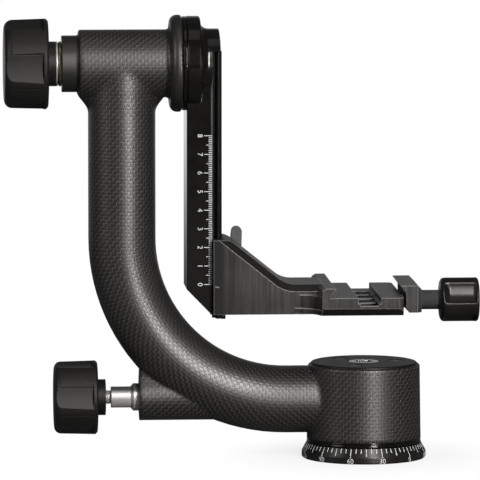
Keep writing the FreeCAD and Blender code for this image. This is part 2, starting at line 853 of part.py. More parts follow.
def bore(body, role, name, circles, lift, length, reverse=False):
    """Round holes: one sketch of circles (x, y, radius) cut to a length."""
    sketch = newSketch(body, role, name, lift)
    for x, y, radius in circles:
        drawCircle(sketch, x, y, radius)
    return pad(body, sketch, name + "_cut", length, "Pocket", reverse=reverse)


bore(shell, "YZ_Plane", "sleeve_bore", [("0", "tilt_height", "sleeve_radius + fit_gap")],
     "flange_face", "flange_face - tube_left")
bore(shell, "XY_Plane", "cup_boring", [("0", "0", "cup_bore")],
     "cap_seat", "cap_seat - cup_bottom")
bore(shell, "XY_Plane", "cap_boring", [("0", "0", "cap_radius + fit_gap")],
     "cup_top", "cup_top - cap_seat")
bore(shell, "YZ_Plane", "bush_bore", [("0", "lock_height", "bush_thread + fit_gap")],
     "boss_face", "bush_thread_length + turn_gap", reverse=True)
bore(shell, "YZ_Plane", "rod_bore", [("0", "lock_height", "rod_radius + turn_gap")],
     "shoe_radius - cup_bore", "shoe_radius - cup_bore - boss_face")

turned("tilt_hub_sleeve", [
    ("sleeve_bore", "tube_left + bearing_inset + bearing_width"),
    ("bearing_radius + fit_gap", "tube_left + bearing_inset + bearing_width"),
    ("bearing_radius + fit_gap", "tube_left"),
    ("sleeve_radius", "tube_left"),
    ("sleeve_radius", "flange_face - fit_gap"),
    ("bearing_radius + fit_gap", "flange_face - fit_gap"),
    ("bearing_radius + fit_gap", "flange_face - bearing_inset - bearing_width"),
    ("sleeve_bore", "flange_face - bearing_inset - bearing_width"),
], "X", "tilt_height")

tiltGroove = "(tilt_ball_radius + fit_gap)"
tiltGrooveHalf = f"sqrt({tiltGroove}^2 - (tilt_ball_circle - tilt_inner_land)^2)"
outerGrooveHalf = f"sqrt({tiltGroove}^2 - (tilt_outer_land - tilt_ball_circle)^2)"
seats = {
    "left": "tube_left + bearing_inset",
    "right": "flange_face - bearing_inset - bearing_width",
}
for place, start in seats.items():
    middle = f"{start} + bearing_width / 2"
    end = f"{start} + bearing_width"
    turned("tilt_outer_race_" + place, [
        ("bearing_radius", start),
        ("bearing_radius", end),
        ("tilt_outer_land", end),
        ("tilt_outer_land", f"{middle} + {outerGrooveHalf}", "-" + tiltGroove),
        ("tilt_outer_land", f"{middle} - {outerGrooveHalf}"),
        ("tilt_outer_land", start),
    ], "X", "tilt_height")

# Pan lock.

turned("pan_lock_bush", [
    ("lock_screw_radius + fit_gap", "bush_left"),
    ("bush_radius", "bush_left"),
    ("bush_radius", "boss_face - bush_flare - bush_cone"),
    ("bush_flare_radius", "boss_face - bush_flare"),
    ("bush_flare_radius", "boss_face"),
    ("bush_thread", "boss_face"),
    ("bush_thread", "boss_face + bush_thread_length"),
    ("lock_screw_radius + fit_gap", "boss_face + bush_thread_length"),
], "X", "lock_height")

shoeFront = "-spindle_radius - turn_gap"
turned("pan_push_rod", ring("0", "rod_radius", "lock_screw_tip + fit_gap",
                            f"{shoeFront} - shoe_length"), "X", "lock_height")

shoe = newBody("pan_brake_shoe")
shoeDisc = newSketch(shoe, "YZ_Plane", "shoe_disc", f"{shoeFront} - shoe_length")
drawCircle(shoeDisc, "0", "lock_height", "shoe_radius")
pad(shoe, shoeDisc, "shoe_rod", "shoe_length + shoe_wrap")
bore(shoe, "XY_Plane", "shoe_hollow", [("0", "0", "spindle_radius + turn_gap")],
     "lock_height + shoe_radius", "2 * shoe_radius")

screwLeft = "pan_collar_left - pan_core_depth"
turned("pan_lock_screw", [
    ("0", screwLeft),
    ("lock_screw_radius", screwLeft),
    ("lock_screw_radius", "lock_screw_tip - lock_screw_nose"),
    ("lock_screw_radius - lock_screw_point", "lock_screw_tip - lock_screw_nose"),
    ("lock_screw_radius - lock_screw_point", "lock_screw_tip"),
    ("0", "lock_screw_tip"),
], "X", "lock_height")
turned("pan_knob_core", [
    ("lock_screw_radius + fit_gap", "pan_collar_left + pan_collar_length"),
    ("pan_collar_radius", "pan_collar_left + pan_collar_length"),
    ("pan_collar_radius", "pan_collar_left"),
    ("pan_core_radius", "pan_collar_left"),
    ("pan_core_radius", screwLeft),
    ("lock_screw_radius + fit_gap", screwLeft),
], "X", "lock_height")


def lobedGrip(label, prefix, face, coreRadius, coreDepth, height):
    """A five-lobed grip: a slightly tapered turned blank with wide shallow flutes that stop
    short of the rim on the shaft side."""
    radius = prefix + "_knob_radius"
    corner = prefix + "_knob_corner"
    taper = prefix + "_knob_taper"
    lip = prefix + "_knob_lip"
    left = f"{face} - {prefix}_knob_length"
    body = turned(label, [
        ("0", left),
        (f"{radius} - {taper} - {corner}", left, corner),
        (f"{radius} - {taper}", f"{left} + {corner}"),
        (radius, f"{face} - {lip}"),
        (f"{radius} - {lip}", face),
        (f"{coreRadius} + fit_gap", face),
        (f"{coreRadius} + fit_gap", f"{face} - {coreDepth} - fit_gap"),
        ("0", f"{face} - {coreDepth} - fit_gap"),
    ], "X", height)
    cutFlutes(body, prefix, left, f"{prefix}_knob_length - {prefix}_flute_rim")
    return body


def cutFlutes(body, prefix, start, length):
    sketch = newSketch(body, "XY_Plane", "flute", start)
    sketch.setExpression(".AttachmentOffset.Rotation.Angle", bound(f"{prefix}_knob_turn"))
    brim = f"({prefix}_knob_radius + turn_gap)"
    middle = f"({prefix}_flute_floor + {prefix}_flute_radius)"
    half = f"sqrt({prefix}_flute_radius^2 - ({middle} - {brim})^2)"
    drawLoop(sketch, [
        (f"{half}", f"-{brim}", f"{prefix}_flute_radius"),
        (f"-{half}", f"-{brim}"),
    ])
    flute = pad(body, sketch, "flute_cut", length, "Pocket", reverse=True)
    polar(body, flute, "flutes", "flute_count")


lobedGrip("pan_knob_grip", "pan", "pan_collar_left", "pan_core_radius", "pan_core_depth",
          "lock_height")

# Tilt shaft and swing arm.

screwHeadBottom = "arm_face - arm_screw_sink - arm_screw_head_height"
turned("tilt_shaft", [
    ("0", "shaft_left"),
    ("shaft_radius", "shaft_left"),
    ("shaft_radius", "flange_face - bearing_inset + fit_gap"),
    ("shaft_shoulder", "flange_face - bearing_inset + fit_gap"),
    ("shaft_shoulder", "flange_face + turn_gap"),
    ("shaft_flange", "flange_face + turn_gap"),
    ("shaft_flange", "arm_left"),
    ("spigot_radius", "arm_left"),
    ("spigot_radius", "arm_left + spigot_length"),
    ("arm_screw_shank + fit_gap", "arm_left + spigot_length"),
    ("arm_screw_shank + fit_gap", f"{screwHeadBottom} - arm_screw_length - turn_gap"),
    ("0", f"{screwHeadBottom} - arm_screw_length - turn_gap"),
], "X", "tilt_height")

for place, start in seats.items():
    middle = f"{start} + bearing_width / 2"
    end = f"{start} + bearing_width"
    turned("tilt_inner_race_" + place, [
        ("shaft_radius + fit_gap", start),
        ("tilt_inner_land", start),
        ("tilt_inner_land", f"{middle} - {tiltGrooveHalf}", "-" + tiltGroove),
        ("tilt_inner_land", f"{middle} + {tiltGrooveHalf}"),
        ("tilt_inner_land", end),
        ("shaft_radius + fit_gap", end),
    ], "X", "tilt_height")
    ballRing("tilt_balls_" + place, "tilt_ball_circle", "tilt_ball_radius", "tilt_ball_count", middle,
             "X", "tilt_height")

turned("tilt_seal_ring", [
    ("shaft_flange + fit_gap", "flange_face + turn_gap"),
    ("seal_radius - seal_edge", "flange_face + turn_gap"),
    ("seal_radius", "flange_face + turn_gap + seal_edge"),
    ("seal_radius", "arm_left"),
    ("shaft_flange + fit_gap", "arm_left"),
], "X", "tilt_height")

arm = newBody("swing_arm")
barFace = "arm_left + arm_thickness"
bar = newSketch(arm, "XZ_Plane", "bar_outline")
drawLoop(bar, [
    ("arm_left", "rail_foot"),
    (barFace, "rail_foot"),
    (barFace, "tilt_height"),
    ("arm_left", "tilt_height"),
])
pad(arm, bar, "bar", "2 * arm_half_depth", midplane=True)

headDisc = newSketch(arm, "XZ_Plane", "head_outline")
discFace = "arm_left + head_disc"
flareRise = "(head_radius - boss_neck_radius)"
domeFoot = "boss_end - dome_rise"
drawAxis(headDisc, ("arm_left", "tilt_height"), ("boss_end", "tilt_height"))
drawLoop(headDisc, [
    ("arm_left", "tilt_height"),
    ("arm_left", "tilt_height + head_radius - head_edge"),
    ("arm_left + head_edge", "tilt_height + head_radius"),
    (f"{discFace} - head_edge", "tilt_height + head_radius"),
    (discFace, "tilt_height + head_radius - head_edge",
     curveTo("flare_length", f"{flareRise} - head_edge")),
    (f"{discFace} + flare_length", "tilt_height + boss_neck_radius"),
    (f"{domeFoot} - head_edge", "tilt_height + boss_neck_radius", "-(head_edge)"),
    (domeFoot, "tilt_height + boss_neck_radius - head_edge",
     "-(" + curveTo("boss_neck_radius - head_edge", "dome_rise") + ")"),
    ("boss_end", "tilt_height"),
])
revolve(arm, headDisc, "head", axis="Axis0")

# Two cuts leave the cutter's way open on both sides of the rail, up into the head.
runout = newSketch(arm, "YZ_Plane", "runout", barFace)
runoutFoot = "tilt_height - head_radius"
runoutSide = "boss_neck_radius + runout_margin"
for sense in ("", "-"):
    drawLoop(runout, [
        (sense + "rail_neck", runoutFoot),
        (sense + f"({runoutSide})", runoutFoot),
        (sense + f"({runoutSide})", "runout_top"),
        (sense + "rail_neck", "runout_top"),
    ])
pad(arm, runout, "runout_milling", "boss_end - arm_left", "Pocket", reverse=True)

railSides = [
    (barFace, "rail_neck"),
    (f"{barFace} + rail_neck_height", "rail_neck"),
    (f"{barFace} + rail_neck_height + rail_flare", "rail_half_width"),
    ("arm_face - rail_bevel", "rail_half_width"),
    ("arm_face", "rail_face_half_width"),
]
rail = newSketch(arm, "XY_Plane", "rail_section", "rail_foot")
drawLoop(rail, [(x, "-" + y) for x, y in railSides] + [
    ("arm_face", "-face_groove"),
    ("arm_face - face_groove_depth", "face_groove_depth - face_groove"),
    ("arm_face - face_groove_depth", "face_groove - face_groove_depth"),
    ("arm_face", "face_groove"),
] + list(reversed(railSides)))
pad(arm, rail, "rail", "runout_top - rail_foot")

foot = newSketch(arm, "XZ_Plane", "foot_cut")
drawLoop(foot, [
    ("arm_left - fit_gap", "rail_foot - fit_gap"),
    ("arm_cut_right", "rail_foot - fit_gap"),
    ("arm_cut_right", "rail_foot"),
    ("arm_left", "arm_cut_top"),
    ("arm_left - fit_gap", "arm_cut_top"),
])
pad(arm, foot, "foot_bevel", "2 * (arm_half_depth + turn_gap)", "Pocket", midplane=True)
bore(arm, "YZ_Plane", "screw_seat", [("0", "tilt_height", "arm_screw_head + fit_gap")],
     screwHeadBottom, "boss_end - arm_left", reverse=True)
bore(arm, "YZ_Plane", "screw_way", [("0", "tilt_height", "arm_screw_shank + fit_gap")],
     "arm_left", "arm_thickness", reverse=True)
bore(arm, "YZ_Plane", "spigot_bore", [("0", "tilt_height", "spigot_radius + fit_gap")],
     "arm_left", "spigot_length", reverse=True)
bore(arm, "YZ_Plane", "stop_holes", [
    ("stop_screw_spread", "stop_screw_height", "stop_shank + fit_gap"),
    ("-stop_screw_spread", "stop_screw_height", "stop_shank + fit_gap"),
], "arm_face", "stop_length + turn_gap")

armScrew = turned("arm_screw", [
    ("0", f"{screwHeadBottom} - arm_screw_length"),
    ("arm_screw_shank", f"{screwHeadBottom} - arm_screw_length"),
    ("arm_screw_shank", screwHeadBottom),
    ("arm_screw_head", screwHeadBottom),
    ("arm_screw_head", "arm_face - arm_screw_sink - screw_bevel"),
    ("arm_screw_head - screw_bevel", "arm_face - arm_screw_sink"),
    ("0", "arm_face - arm_screw_sink"),
], "X", "tilt_height")
armSocket = newSketch(armScrew, "XY_Plane", "socket", "arm_face - arm_screw_sink")
drawHexagon(armSocket, "arm_screw_socket")
pad(armScrew, armSocket, "socket_cut", "arm_screw_head_height / 2", "Pocket")

stops = newBody("rail_stop_screws")
for name, radius, length, outward in (
        ("head", "stop_head_radius", "stop_head_height", False),
        ("shank", "stop_shank", "stop_length", True)):
    discs = newSketch(stops, "YZ_Plane", name + "_discs", "arm_face")
    drawCircle(discs, "stop_screw_spread", "stop_screw_height", radius)
    drawCircle(discs, "-stop_screw_spread", "stop_screw_height", radius)
    pad(stops, discs, name + "_rods", length, reverse=outward)

# Tilt lock.

brassLeft = "tube_left - turn_gap - brass_washer"
frictionLeft = f"{brassLeft} - friction_washer"
steelLeft = f"{frictionLeft} - steel_washer"
turned("tilt_brass_washer", ring("shaft_radius + fit_gap", "tilt_washer_radius", brassLeft,
                                 "tube_left - turn_gap"), "X", "tilt_height")
turned("tilt_friction_washer", ring("shaft_radius + fit_gap",
                                    "tilt_washer_radius - friction_inset",
                                    frictionLeft, brassLeft), "X", "tilt_height")
turned("tilt_thrust_washer", ring("shaft_radius + fit_gap", "tilt_washer_radius", steelLeft,
                                  frictionLeft), "X", "tilt_height")

collarFace = f"{steelLeft} - fit_gap"
gripFace = f"{collarFace} - tilt_collar_length"
turned("tilt_knob_core", [
    ("shaft_radius + fit_gap", collarFace),
    ("tilt_collar_radius", collarFace),
    ("tilt_collar_radius", gripFace),
    ("tilt_core_radius", gripFace),
    ("tilt_core_radius", f"{gripFace} - tilt_core_depth"),
    ("0", f"{gripFace} - tilt_core_depth"),
    ("0", "shaft_left - 2 * turn_gap"),
    ("shaft_radius + fit_gap", "shaft_left - 2 * turn_gap"),
], "X", "tilt_height")
lobedGrip("tilt_knob_grip", "tilt", gripFace, "tilt_core_radius", "tilt_core_depth",
          "tilt_height")

# Quick-release platform.

bracket = newBody("platform_bracket")
webRight = "lip_back + web_overlap"
web = newSketch(bracket, "XZ_Plane", "web_outline")
slope = "(jaw_top - web_top) / (web_low - web_high)"
drawLoop(web, [
    ("jaw_left", "web_bottom"),
    (webRight, "web_bottom"),
    (webRight, "web_top"),
    ("web_low", "web_top"),
    ("jaw_left", f"jaw_top + ({slope}) * (web_high - jaw_left)"),
])
webPad = pad(bracket, web, "web", "2 * bracket_half_depth", midplane=True)


def crosswise(edge, x, z):
    """True for an edge along Y that passes through a place in X and Z."""
    box = edge.BoundBox
    return (box.YLength > nearness and box.XLength < nearness
            and abs(box.XMin - value(x)) < nearness and abs(box.ZMin - value(z)) < nearness)


webBend = dress(bracket, "Fillet", webPad, "web_bend", "web_low_radius",
                lambda edge: crosswise(edge, "web_low", "web_top"))
dress(bracket, "Chamfer", webBend, "web_edges", "web_chamfer",
      lambda edge: edge.BoundBox.YLength < nearness
      and edge.BoundBox.ZMin > value("web_top") - nearness)
crown = newSketch(bracket, "XZ_Plane", "crown_cut")
drawLoop(crown, [
    ("jaw_left - turn_gap", "jaw_top"),
    ("web_high", "jaw_top"),
    ("web_high", f"jaw_top + ({slope}) * (web_high - jaw_left) + turn_gap"),
    ("jaw_left - turn_gap", f"jaw_top + ({slope}) * (web_high - jaw_left) + turn_gap"),
])
crownCut = pad(bracket, crown, "crown_trim", "2 * (bracket_half_depth + turn_gap)", "Pocket", midplane=True)
dress(bracket, "Fillet", crownCut, "web_corner", "web_high_radius",
      lambda edge: crosswise(edge, "web_high", "jaw_top"))


def table(name, left, radius, bottom, top):
    """One layer of the clamp table, with the hollow shoulders where it widens from the web."""
    sketch = newSketch(bracket, "XY_Plane", name + "_outline", bottom)
    drawLoop(sketch, [
        (left, "-bracket_half_depth", f"-({radius})"),
        ("lip_back", "-clamp_half_length"),
        ("clamp_right - clamp_corner", "-clamp_half_length", "clamp_corner"),
        ("clamp_right", "clamp_corner - clamp_half_length"),
        ("clamp_right", "clamp_half_length - clamp_corner", "clamp_corner"),
        ("clamp_right - clamp_corner", "clamp_half_length"),
        ("lip_back", "clamp_half_length", f"-({radius})"),
        (left, "bracket_half_depth"),
    ])
    return pad(bracket, sketch, name, f"{top} - ({bottom})")


table("upper_table", "lip_back - scoop_length", "scoop_radius", "table_bottom", "floor_height")
table("lower_table", "lip_back - plate_scoop_length", "plate_scoop_radius", "table_bottom",
      "plate_height")
bevels = newSketch(bracket, "YZ_Plane", "table_bevels", "clamp_right + turn_gap")
for sense in ("", "-"):
    drawLoop(bevels, [
        (sense + "(clamp_half_length + turn_gap)", "table_bottom - turn_gap"),
        (sense + "(clamp_half_length + turn_gap)", "table_bottom + table_bevel + turn_gap"),
        (sense + "(clamp_half_length - table_bevel - turn_gap)", "table_bottom - turn_gap"),
    ])
pad(bracket, bevels, "table_bevelling", "clamp_right - lip_back + plate_scoop_length + turn_gap",
    "Pocket")

lip = newSketch(bracket, "XZ_Plane", "fixed_jaw_outline")
drawLoop(lip, [
    ("lip_back", "floor_height"),
    ("lip_root", "floor_height"),
    ("lip_root", "lip_root_height"),
    ("lip_tip", "lip_top - lip_land"),
    ("lip_tip", "lip_top"),
    ("lip_back + lip_bevel", "lip_top"),
    ("lip_back", "lip_top - lip_bevel_drop"),
])
pad(bracket, lip, "fixed_jaw", "2 * clamp_half_length", midplane=True)

channel = newSketch(bracket, "XZ_Plane", "channel")
drawLoop(channel, [
    ("channel_left", "channel_floor"),
    ("channel_right", "channel_floor"),
    ("channel_right", "floor_height + turn_gap"),
    ("channel_left", "floor_height + turn_gap"),
])
pad(bracket, channel, "channel_milling", "2 * (clamp_half_length + turn_gap)", "Pocket", midplane=True)
pocket = newSketch(bracket, "XY_Plane", "pocket", "channel_floor")
drawLoop(pocket, [
    ("pocket_left", "sill_depth - clamp_half_length"),
    ("pocket_right", "sill_depth - clamp_half_length"),
    ("pocket_right", "pocket_back"),
    ("pocket_left", "pocket_back"),
])
pad(bracket, pocket, "pocket_milling", "channel_floor - pocket_floor", "Pocket")
sill = newSketch(bracket, "XY_Plane", "sill", "channel_floor")
drawLoop(sill, [
    ("pocket_left", "-clamp_half_length - turn_gap"),
    ("pocket_right", "-clamp_half_length - turn_gap"),
    ("pocket_right", "sill_depth - clamp_half_length + turn_gap"),
    ("pocket_left", "sill_depth - clamp_half_length + turn_gap"),
])
pad(bracket, sill, "sill_milling", "channel_floor - sill_height", "Pocket")

slotSides = [
    ("jaw_left - turn_gap", "rail_neck + rail_gap"),
    (f"{barFace} + rail_neck_height - rail_gap", "rail_neck + rail_gap"),
    (f"{barFace} + rail_neck_height + rail_flare - rail_gap", "rail_half_width + rail_gap"),
    ("arm_face - rail_bevel + rail_gap / 2", "rail_half_width + rail_gap"),
    ("arm_face + rail_gap", "rail_face_half_width + rail_gap / 2"),
]
slot = newSketch(bracket, "XY_Plane", "rail_slot", "web_bottom - turn_gap")
drawLoop(slot, [(x, "-(" + y + ")") for x, y in slotSides] + list(reversed(slotSides)))
pad(bracket, slot, "slot_milling", "jaw_top - web_bottom + 2 * turn_gap", "Pocket",
    reverse=True)

gibPocket = newSketch(bracket, "XY_Plane", "gib_pocket", "lock_z - gib_height / 2 - slide_gap")
drawLoop(gibPocket, [
    ("gib_left - slide_gap", "gib_inner - slide_gap"),
    ("gib_right + slide_gap", "gib_inner - slide_gap"),
    ("gib_right + slide_gap", "gib_inner + gib_thickness + gib_play"),
    ("gib_left - slide_gap", "gib_inner + gib_thickness + gib_play"),
])
pad(bracket, gibPocket, "gib_milling", "gib_height + 2 * slide_gap", "Pocket", reverse=True)
bore(bracket, "XZ_Plane", "lock_bore", [("lock_x", "lock_z", "lever_screw_radius + fit_gap")],
     "-gib_inner", "bracket_half_depth", reverse=False)
bore(bracket, "YZ_Plane", "clamp_screw_bore",
     [("0", "clamp_axis", "clamp_screw_radius + fit_gap")],
     "clamp_right", "clamp_right - clamp_screw_left + jaw_close + turn_gap")
bore(bracket, "YZ_Plane", "guide_bores", [
    ("pin_spread", "clamp_axis", "pin_radius + slide_gap"),
    ("-pin_spread", "clamp_axis", "pin_radius + slide_gap"),
], "clamp_right", "clamp_right - pin_left + jaw_close + turn_gap")

# Platform lock.

gib = newBody("rail_gib")
gibBlock = newSketch(gib, "XY_Plane", "gib_section", "lock_z - gib_height / 2")
drawLoop(gibBlock, [
    ("gib_left", "gib_inner"),
    ("gib_right", "gib_inner"),
    ("gib_right", "gib_inner + gib_thickness"),
    ("gib_left", "gib_inner + gib_thickness"),
])
pad(gib, gibBlock, "gib_block", "gib_height")

gibBack = "gib_inner + gib_thickness"
hubFace = "bracket_half_depth + turn_gap"
turned("platform_lock_screw", ring("0", "lever_screw_radius", f"{gibBack} + fit_gap",
                                   f"{hubFace} + lever_hub_depth / 2"),
       "Y", "lock_z", "lock_x")

lever = newBody("platform_lock_lever")
hubDisc = newSketch(lever, "XZ_Plane", "hub_disc", f"-({hubFace})")
drawCircle(hubDisc, "lock_x", "lock_z", "lever_hub_radius")
pad(lever, hubDisc, "hub", "lever_hub_depth", reverse=True)
handle = newSketch(lever, "XZ_Plane", "handle_outline",
                   f"-({hubFace} + (lever_hub_depth - lever_arm_depth) / 2)")
drawLoop(handle, [
    ("lock_x", "lock_z + lever_neck"),
    ("lever_elbow_x - lever_tip_radius", "lever_elbow_z + lever_elbow_radius"),
    ("lever_tip_x - lever_tip_radius", "lever_tip_z", "-(lever_tip_radius)"),
    ("lever_tip_x", "lever_tip_z + lever_tip_radius", "-(lever_tip_radius)"),
    ("lever_tip_x + lever_tip_radius", "lever_tip_z"),
    ("lever_elbow_x + lever_elbow_radius", "lever_elbow_z", "-(lever_elbow_radius)"),
    ("lever_elbow_x", "lever_elbow_z - lever_elbow_radius"),
    ("lock_x", "lock_z - lever_neck"),
])
pad(lever, handle, "handle", "lever_arm_depth", reverse=True)
bore(lever, "XZ_Plane", "screw_bore", [("lock_x", "lock_z", "lever_screw_radius + fit_gap")],
     f"-({hubFace})", "lever_hub_depth / 2 + fit_gap", reverse=False)
bore(lever, "XZ_Plane", "cap_bore", [("lock_x", "lock_z", "cap_shank + fit_gap")],
     f"-({hubFace} + lever_hub_depth / 2)", "lever_hub_depth", reverse=False)
turned("lever_cap_screw", [
    ("0", f"{hubFace} + lever_hub_depth / 2 + 2 * fit_gap"),
    ("cap_shank", f"{hubFace} + lever_hub_depth / 2 + 2 * fit_gap"),
    ("cap_shank", f"{hubFace} + lever_hub_depth"),
    ("lever_cap_radius", f"{hubFace} + lever_hub_depth"),
    ("lever_cap_radius - screw_bevel", f"{hubFace} + lever_hub_depth + lever_cap_height"),
    ("0", f"{hubFace} + lever_hub_depth + lever_cap_height"),
], "Y", "lock_z", "lock_x")

# Moving jaw and clamp knob.

jaw = newBody("moving_jaw")
jawSection = newSketch(jaw, "XZ_Plane", "jaw_outline")
drawLoop(jawSection, [
    ("jaw_tip", "lip_top"),
    ("jaw_tip", "lip_top - lip_land"),
    ("jaw_root", "lip_root_height"),
    ("jaw_root", "jaw_foot + jaw_foot_bevel"),
    ("jaw_root + jaw_foot_bevel", "jaw_foot"),
    ("jaw_outer", "jaw_foot"),
    ("jaw_outer", "lip_top - jaw_bevel"),
    ("jaw_outer - jaw_bevel", "lip_top"),
])
jawPad = pad(jaw, jawSection, "jaw_bar", "2 * jaw_half_length", midplane=True)
dress(jaw, "Chamfer", jawPad, "jaw_ends", "jaw_end_chamfer",
      lambda edge: edge.BoundBox.ZLength > nearness and edge.BoundBox.XLength < nearness
      and abs(edge.BoundBox.XMin - value("jaw_outer")) < nearness)
bore(jaw, "YZ_Plane", "screw_bore", [("0", "clamp_axis", "clamp_screw_radius + fit_gap")],
     "jaw_outer", "jaw_outer - jaw_root + turn_gap")
bore(jaw, "YZ_Plane", "clip_recess", [("0", "clamp_axis", "clip_radius + turn_gap")],
     "jaw_root", "clip_thickness + turn_gap", reverse=True)
bore(jaw, "YZ_Plane", "guide_bores", [
    ("pin_spread", "clamp_axis", "pin_radius + fit_gap"),
    ("-pin_spread", "clamp_axis", "pin_radius + fit_gap"),
], "jaw_root", "pin_right - jaw_root + fit_gap", reverse=True)

pins = newBody("jaw_guide_pins")
pinDiscs = newSketch(pins, "YZ_Plane", "pin_discs", "pin_left")
drawCircle(pinDiscs, "pin_spread", "clamp_axis", "pin_radius")
drawCircle(pinDiscs, "-pin_spread", "clamp_axis", "pin_radius")
pad(pins, pinDiscs, "pin_rods", "pin_right - pin_left")

stemLeft = "jaw_outer + turn_gap"
turned("clamp_screw", ring("0", "clamp_screw_radius", "clamp_screw_left",
                           f"{stemLeft} + clamp_screw_hold"), "X", "clamp_axis")
turned("clamp_screw_clip", ring("clamp_screw_radius + fit_gap", "clip_radius",
                                "jaw_root + turn_gap / 2",
                                "jaw_root + turn_gap / 2 + clip_thickness"), "X", "clamp_axis")

clampRight = "clamp_knob_left + clamp_knob_length"
clampKnob = turned("clamp_knob", [
    ("clamp_screw_radius + fit_gap", stemLeft),
    ("stem_radius", stemLeft),
    ("stem_radius", "clamp_knob_left"),
    ("clamp_knob_radius - clamp_knob_corner", "clamp_knob_left", "clamp_knob_corner"),
    ("clamp_knob_radius", "clamp_knob_left + clamp_knob_corner"),
    ("clamp_knob_radius", f"{clampRight} - clamp_knob_edge"),
    ("clamp_knob_radius - clamp_knob_edge", clampRight),
    ("0", clampRight),
    ("0", f"{stemLeft} + clamp_screw_hold + fit_gap"),
    ("clamp_screw_radius + fit_gap", f"{stemLeft} + clamp_screw_hold + fit_gap"),
], "X", "clamp_axis")
cutFlutes(clampKnob, "clamp", "clamp_knob_left + clamp_flute_rim",
          "clamp_knob_length - clamp_flute_rim + turn_gap")

# Checks and files.

doc.recompute()
faults = []
for item in doc.Objects:
    if "Invalid" in item.State or "Error" in item.State:
        faults.append(item.Name)
bodies = [item for item in doc.Objects if item.TypeId == "PartDesign::Body"]
for body in bodies:
    if body.Shape.isNull() or not body.Shape.isValid():
        faults.append(body.Label)
if faults:
    raise RuntimeError("failed objects: " + ", ".join(faults))

os.makedirs("parts", exist_ok=True)
for body in bodies:
    body.Shape.exportStep("parts/" + body.Label + ".step")
    print(body.Label, len(body.Shape.Solids), round(body.Shape.Volume, 1))
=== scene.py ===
from math import cos, hypot, pi, radians, sin

import bmesh
import bpy
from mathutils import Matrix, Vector


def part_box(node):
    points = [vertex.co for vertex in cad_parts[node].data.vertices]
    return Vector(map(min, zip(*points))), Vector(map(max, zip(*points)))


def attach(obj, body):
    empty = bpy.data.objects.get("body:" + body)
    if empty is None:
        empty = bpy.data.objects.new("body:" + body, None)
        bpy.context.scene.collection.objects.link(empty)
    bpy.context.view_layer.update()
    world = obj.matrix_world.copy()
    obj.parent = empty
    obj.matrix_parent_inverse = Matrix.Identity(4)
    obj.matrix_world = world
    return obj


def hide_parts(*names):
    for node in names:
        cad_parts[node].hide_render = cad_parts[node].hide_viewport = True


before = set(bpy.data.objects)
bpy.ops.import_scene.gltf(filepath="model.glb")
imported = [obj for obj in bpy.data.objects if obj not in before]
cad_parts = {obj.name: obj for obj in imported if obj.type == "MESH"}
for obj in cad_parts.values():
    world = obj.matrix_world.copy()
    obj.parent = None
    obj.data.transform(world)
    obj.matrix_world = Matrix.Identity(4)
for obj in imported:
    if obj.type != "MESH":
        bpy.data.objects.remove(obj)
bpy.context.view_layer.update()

scene = bpy.context.scene
scene.view_settings.view_transform = "Standard"
millimetre = 0.001

# places on the head that several pieces share, in millimetres
tiltHeight = 213.5
panLockHeight = 33.4
clampKnobStart = 41.0


class Wire:
    # one socket of a material; sums written on it become Math nodes
    def __init__(self, tree, socket=None):
        self.tree = tree
        self.socket = socket

    def add(self, kind, settings=None, feeds=None, output=0):
        node = self.tree.nodes.new("ShaderNode" + kind)
        for name, setting in (settings or {}).items():
            setattr(node, name, setting)
        for name, feed in (feeds or {}).items():
            if isinstance(feed, Wire):
                self.tree.links.new(feed.socket, node.inputs[name])
            else:
                node.inputs[name].default_value = feed
        return Wire(self.tree, node.outputs[output] if node.outputs else None)

    def out(self, name):
        return Wire(self.tree, self.socket.node.outputs[name])

    def maths(self, operation, *terms):
        return self.add("Math", {"operation": operation}, dict(enumerate(terms)))

    def __add__(self, other):
        return self.maths("ADD", self, other)

    def __radd__(self, other):
        return self.maths("ADD", other, self)

    def __sub__(self, other):
        return self.maths("SUBTRACT", self, other)

    def __rsub__(self, other):
        return self.maths("SUBTRACT", other, self)

    def __mul__(self, other):
        return self.maths("MULTIPLY", self, other)

    def __rmul__(self, other):
        return self.maths("MULTIPLY", other, self)

    def __truediv__(self, other):
        return self.maths("DIVIDE", self, other)

    def __pow__(self, other):
        return self.maths("POWER", self, other)

    def __gt__(self, other):
        return self.maths("GREATER_THAN", self, other)

    def __lt__(self, other):
        return self.maths("LESS_THAN", self, other)

    def __abs__(self):
        return self.maths("ABSOLUTE", self)

    def floor(self):
        return self.maths("FLOOR", self)

    def part(self):
        return self.maths("FRACT", self)

    def wave(self):
        return self.maths("SINE", self)

    def least(self, other):
        return self.maths("MINIMUM", self, other)

    def most(self, other):
        return self.maths("MAXIMUM", self, other)

    def turn(self, other):
        return self.maths("ARCTAN2", self, other)

    def reach(self, other):
        return (self * self + other * other) ** 0.5

    def ease(self, low, high, first=0.0, last=1.0):
        return self.add(
            "MapRange",
            {"interpolation_type": "SMOOTHSTEP"},
            {"Value": self, "From Min": low, "From Max": high, "To Min": first, "To Max": last},
        )

    def patches(self, share, low=0.3, high=0.7):
        # soft patches where a noise is high, none stronger than a share
        return self.ease(low, high) * share

    def sway(self, amount):
        # a noise as a change up and down
        return (self - 0.5) * amount

    def mix(self, first, second):
        # colour between two others, by this value
        return self.add("Mix", {"data_type": "RGBA"}, {0: self, 6: first, 7: second}, 2)


def emptyTree(owner):
    # the cleared nodes of a material or a world
    owner.use_nodes = True
    owner.node_tree.nodes.clear()
    return Wire(owner.node_tree)


def finish(name, uniform, varying):
    material = bpy.data.materials.new(name)
    start = emptyTree(material)
    shader = start.add("BsdfPrincipled", feeds={**uniform, **varying(start)})
    start.add("OutputMaterial", feeds={"Surface": shader})
    return material


def grey(level, warm=0.0):
    return (level * (1 + warm), level, level * (1 - warm), 1)


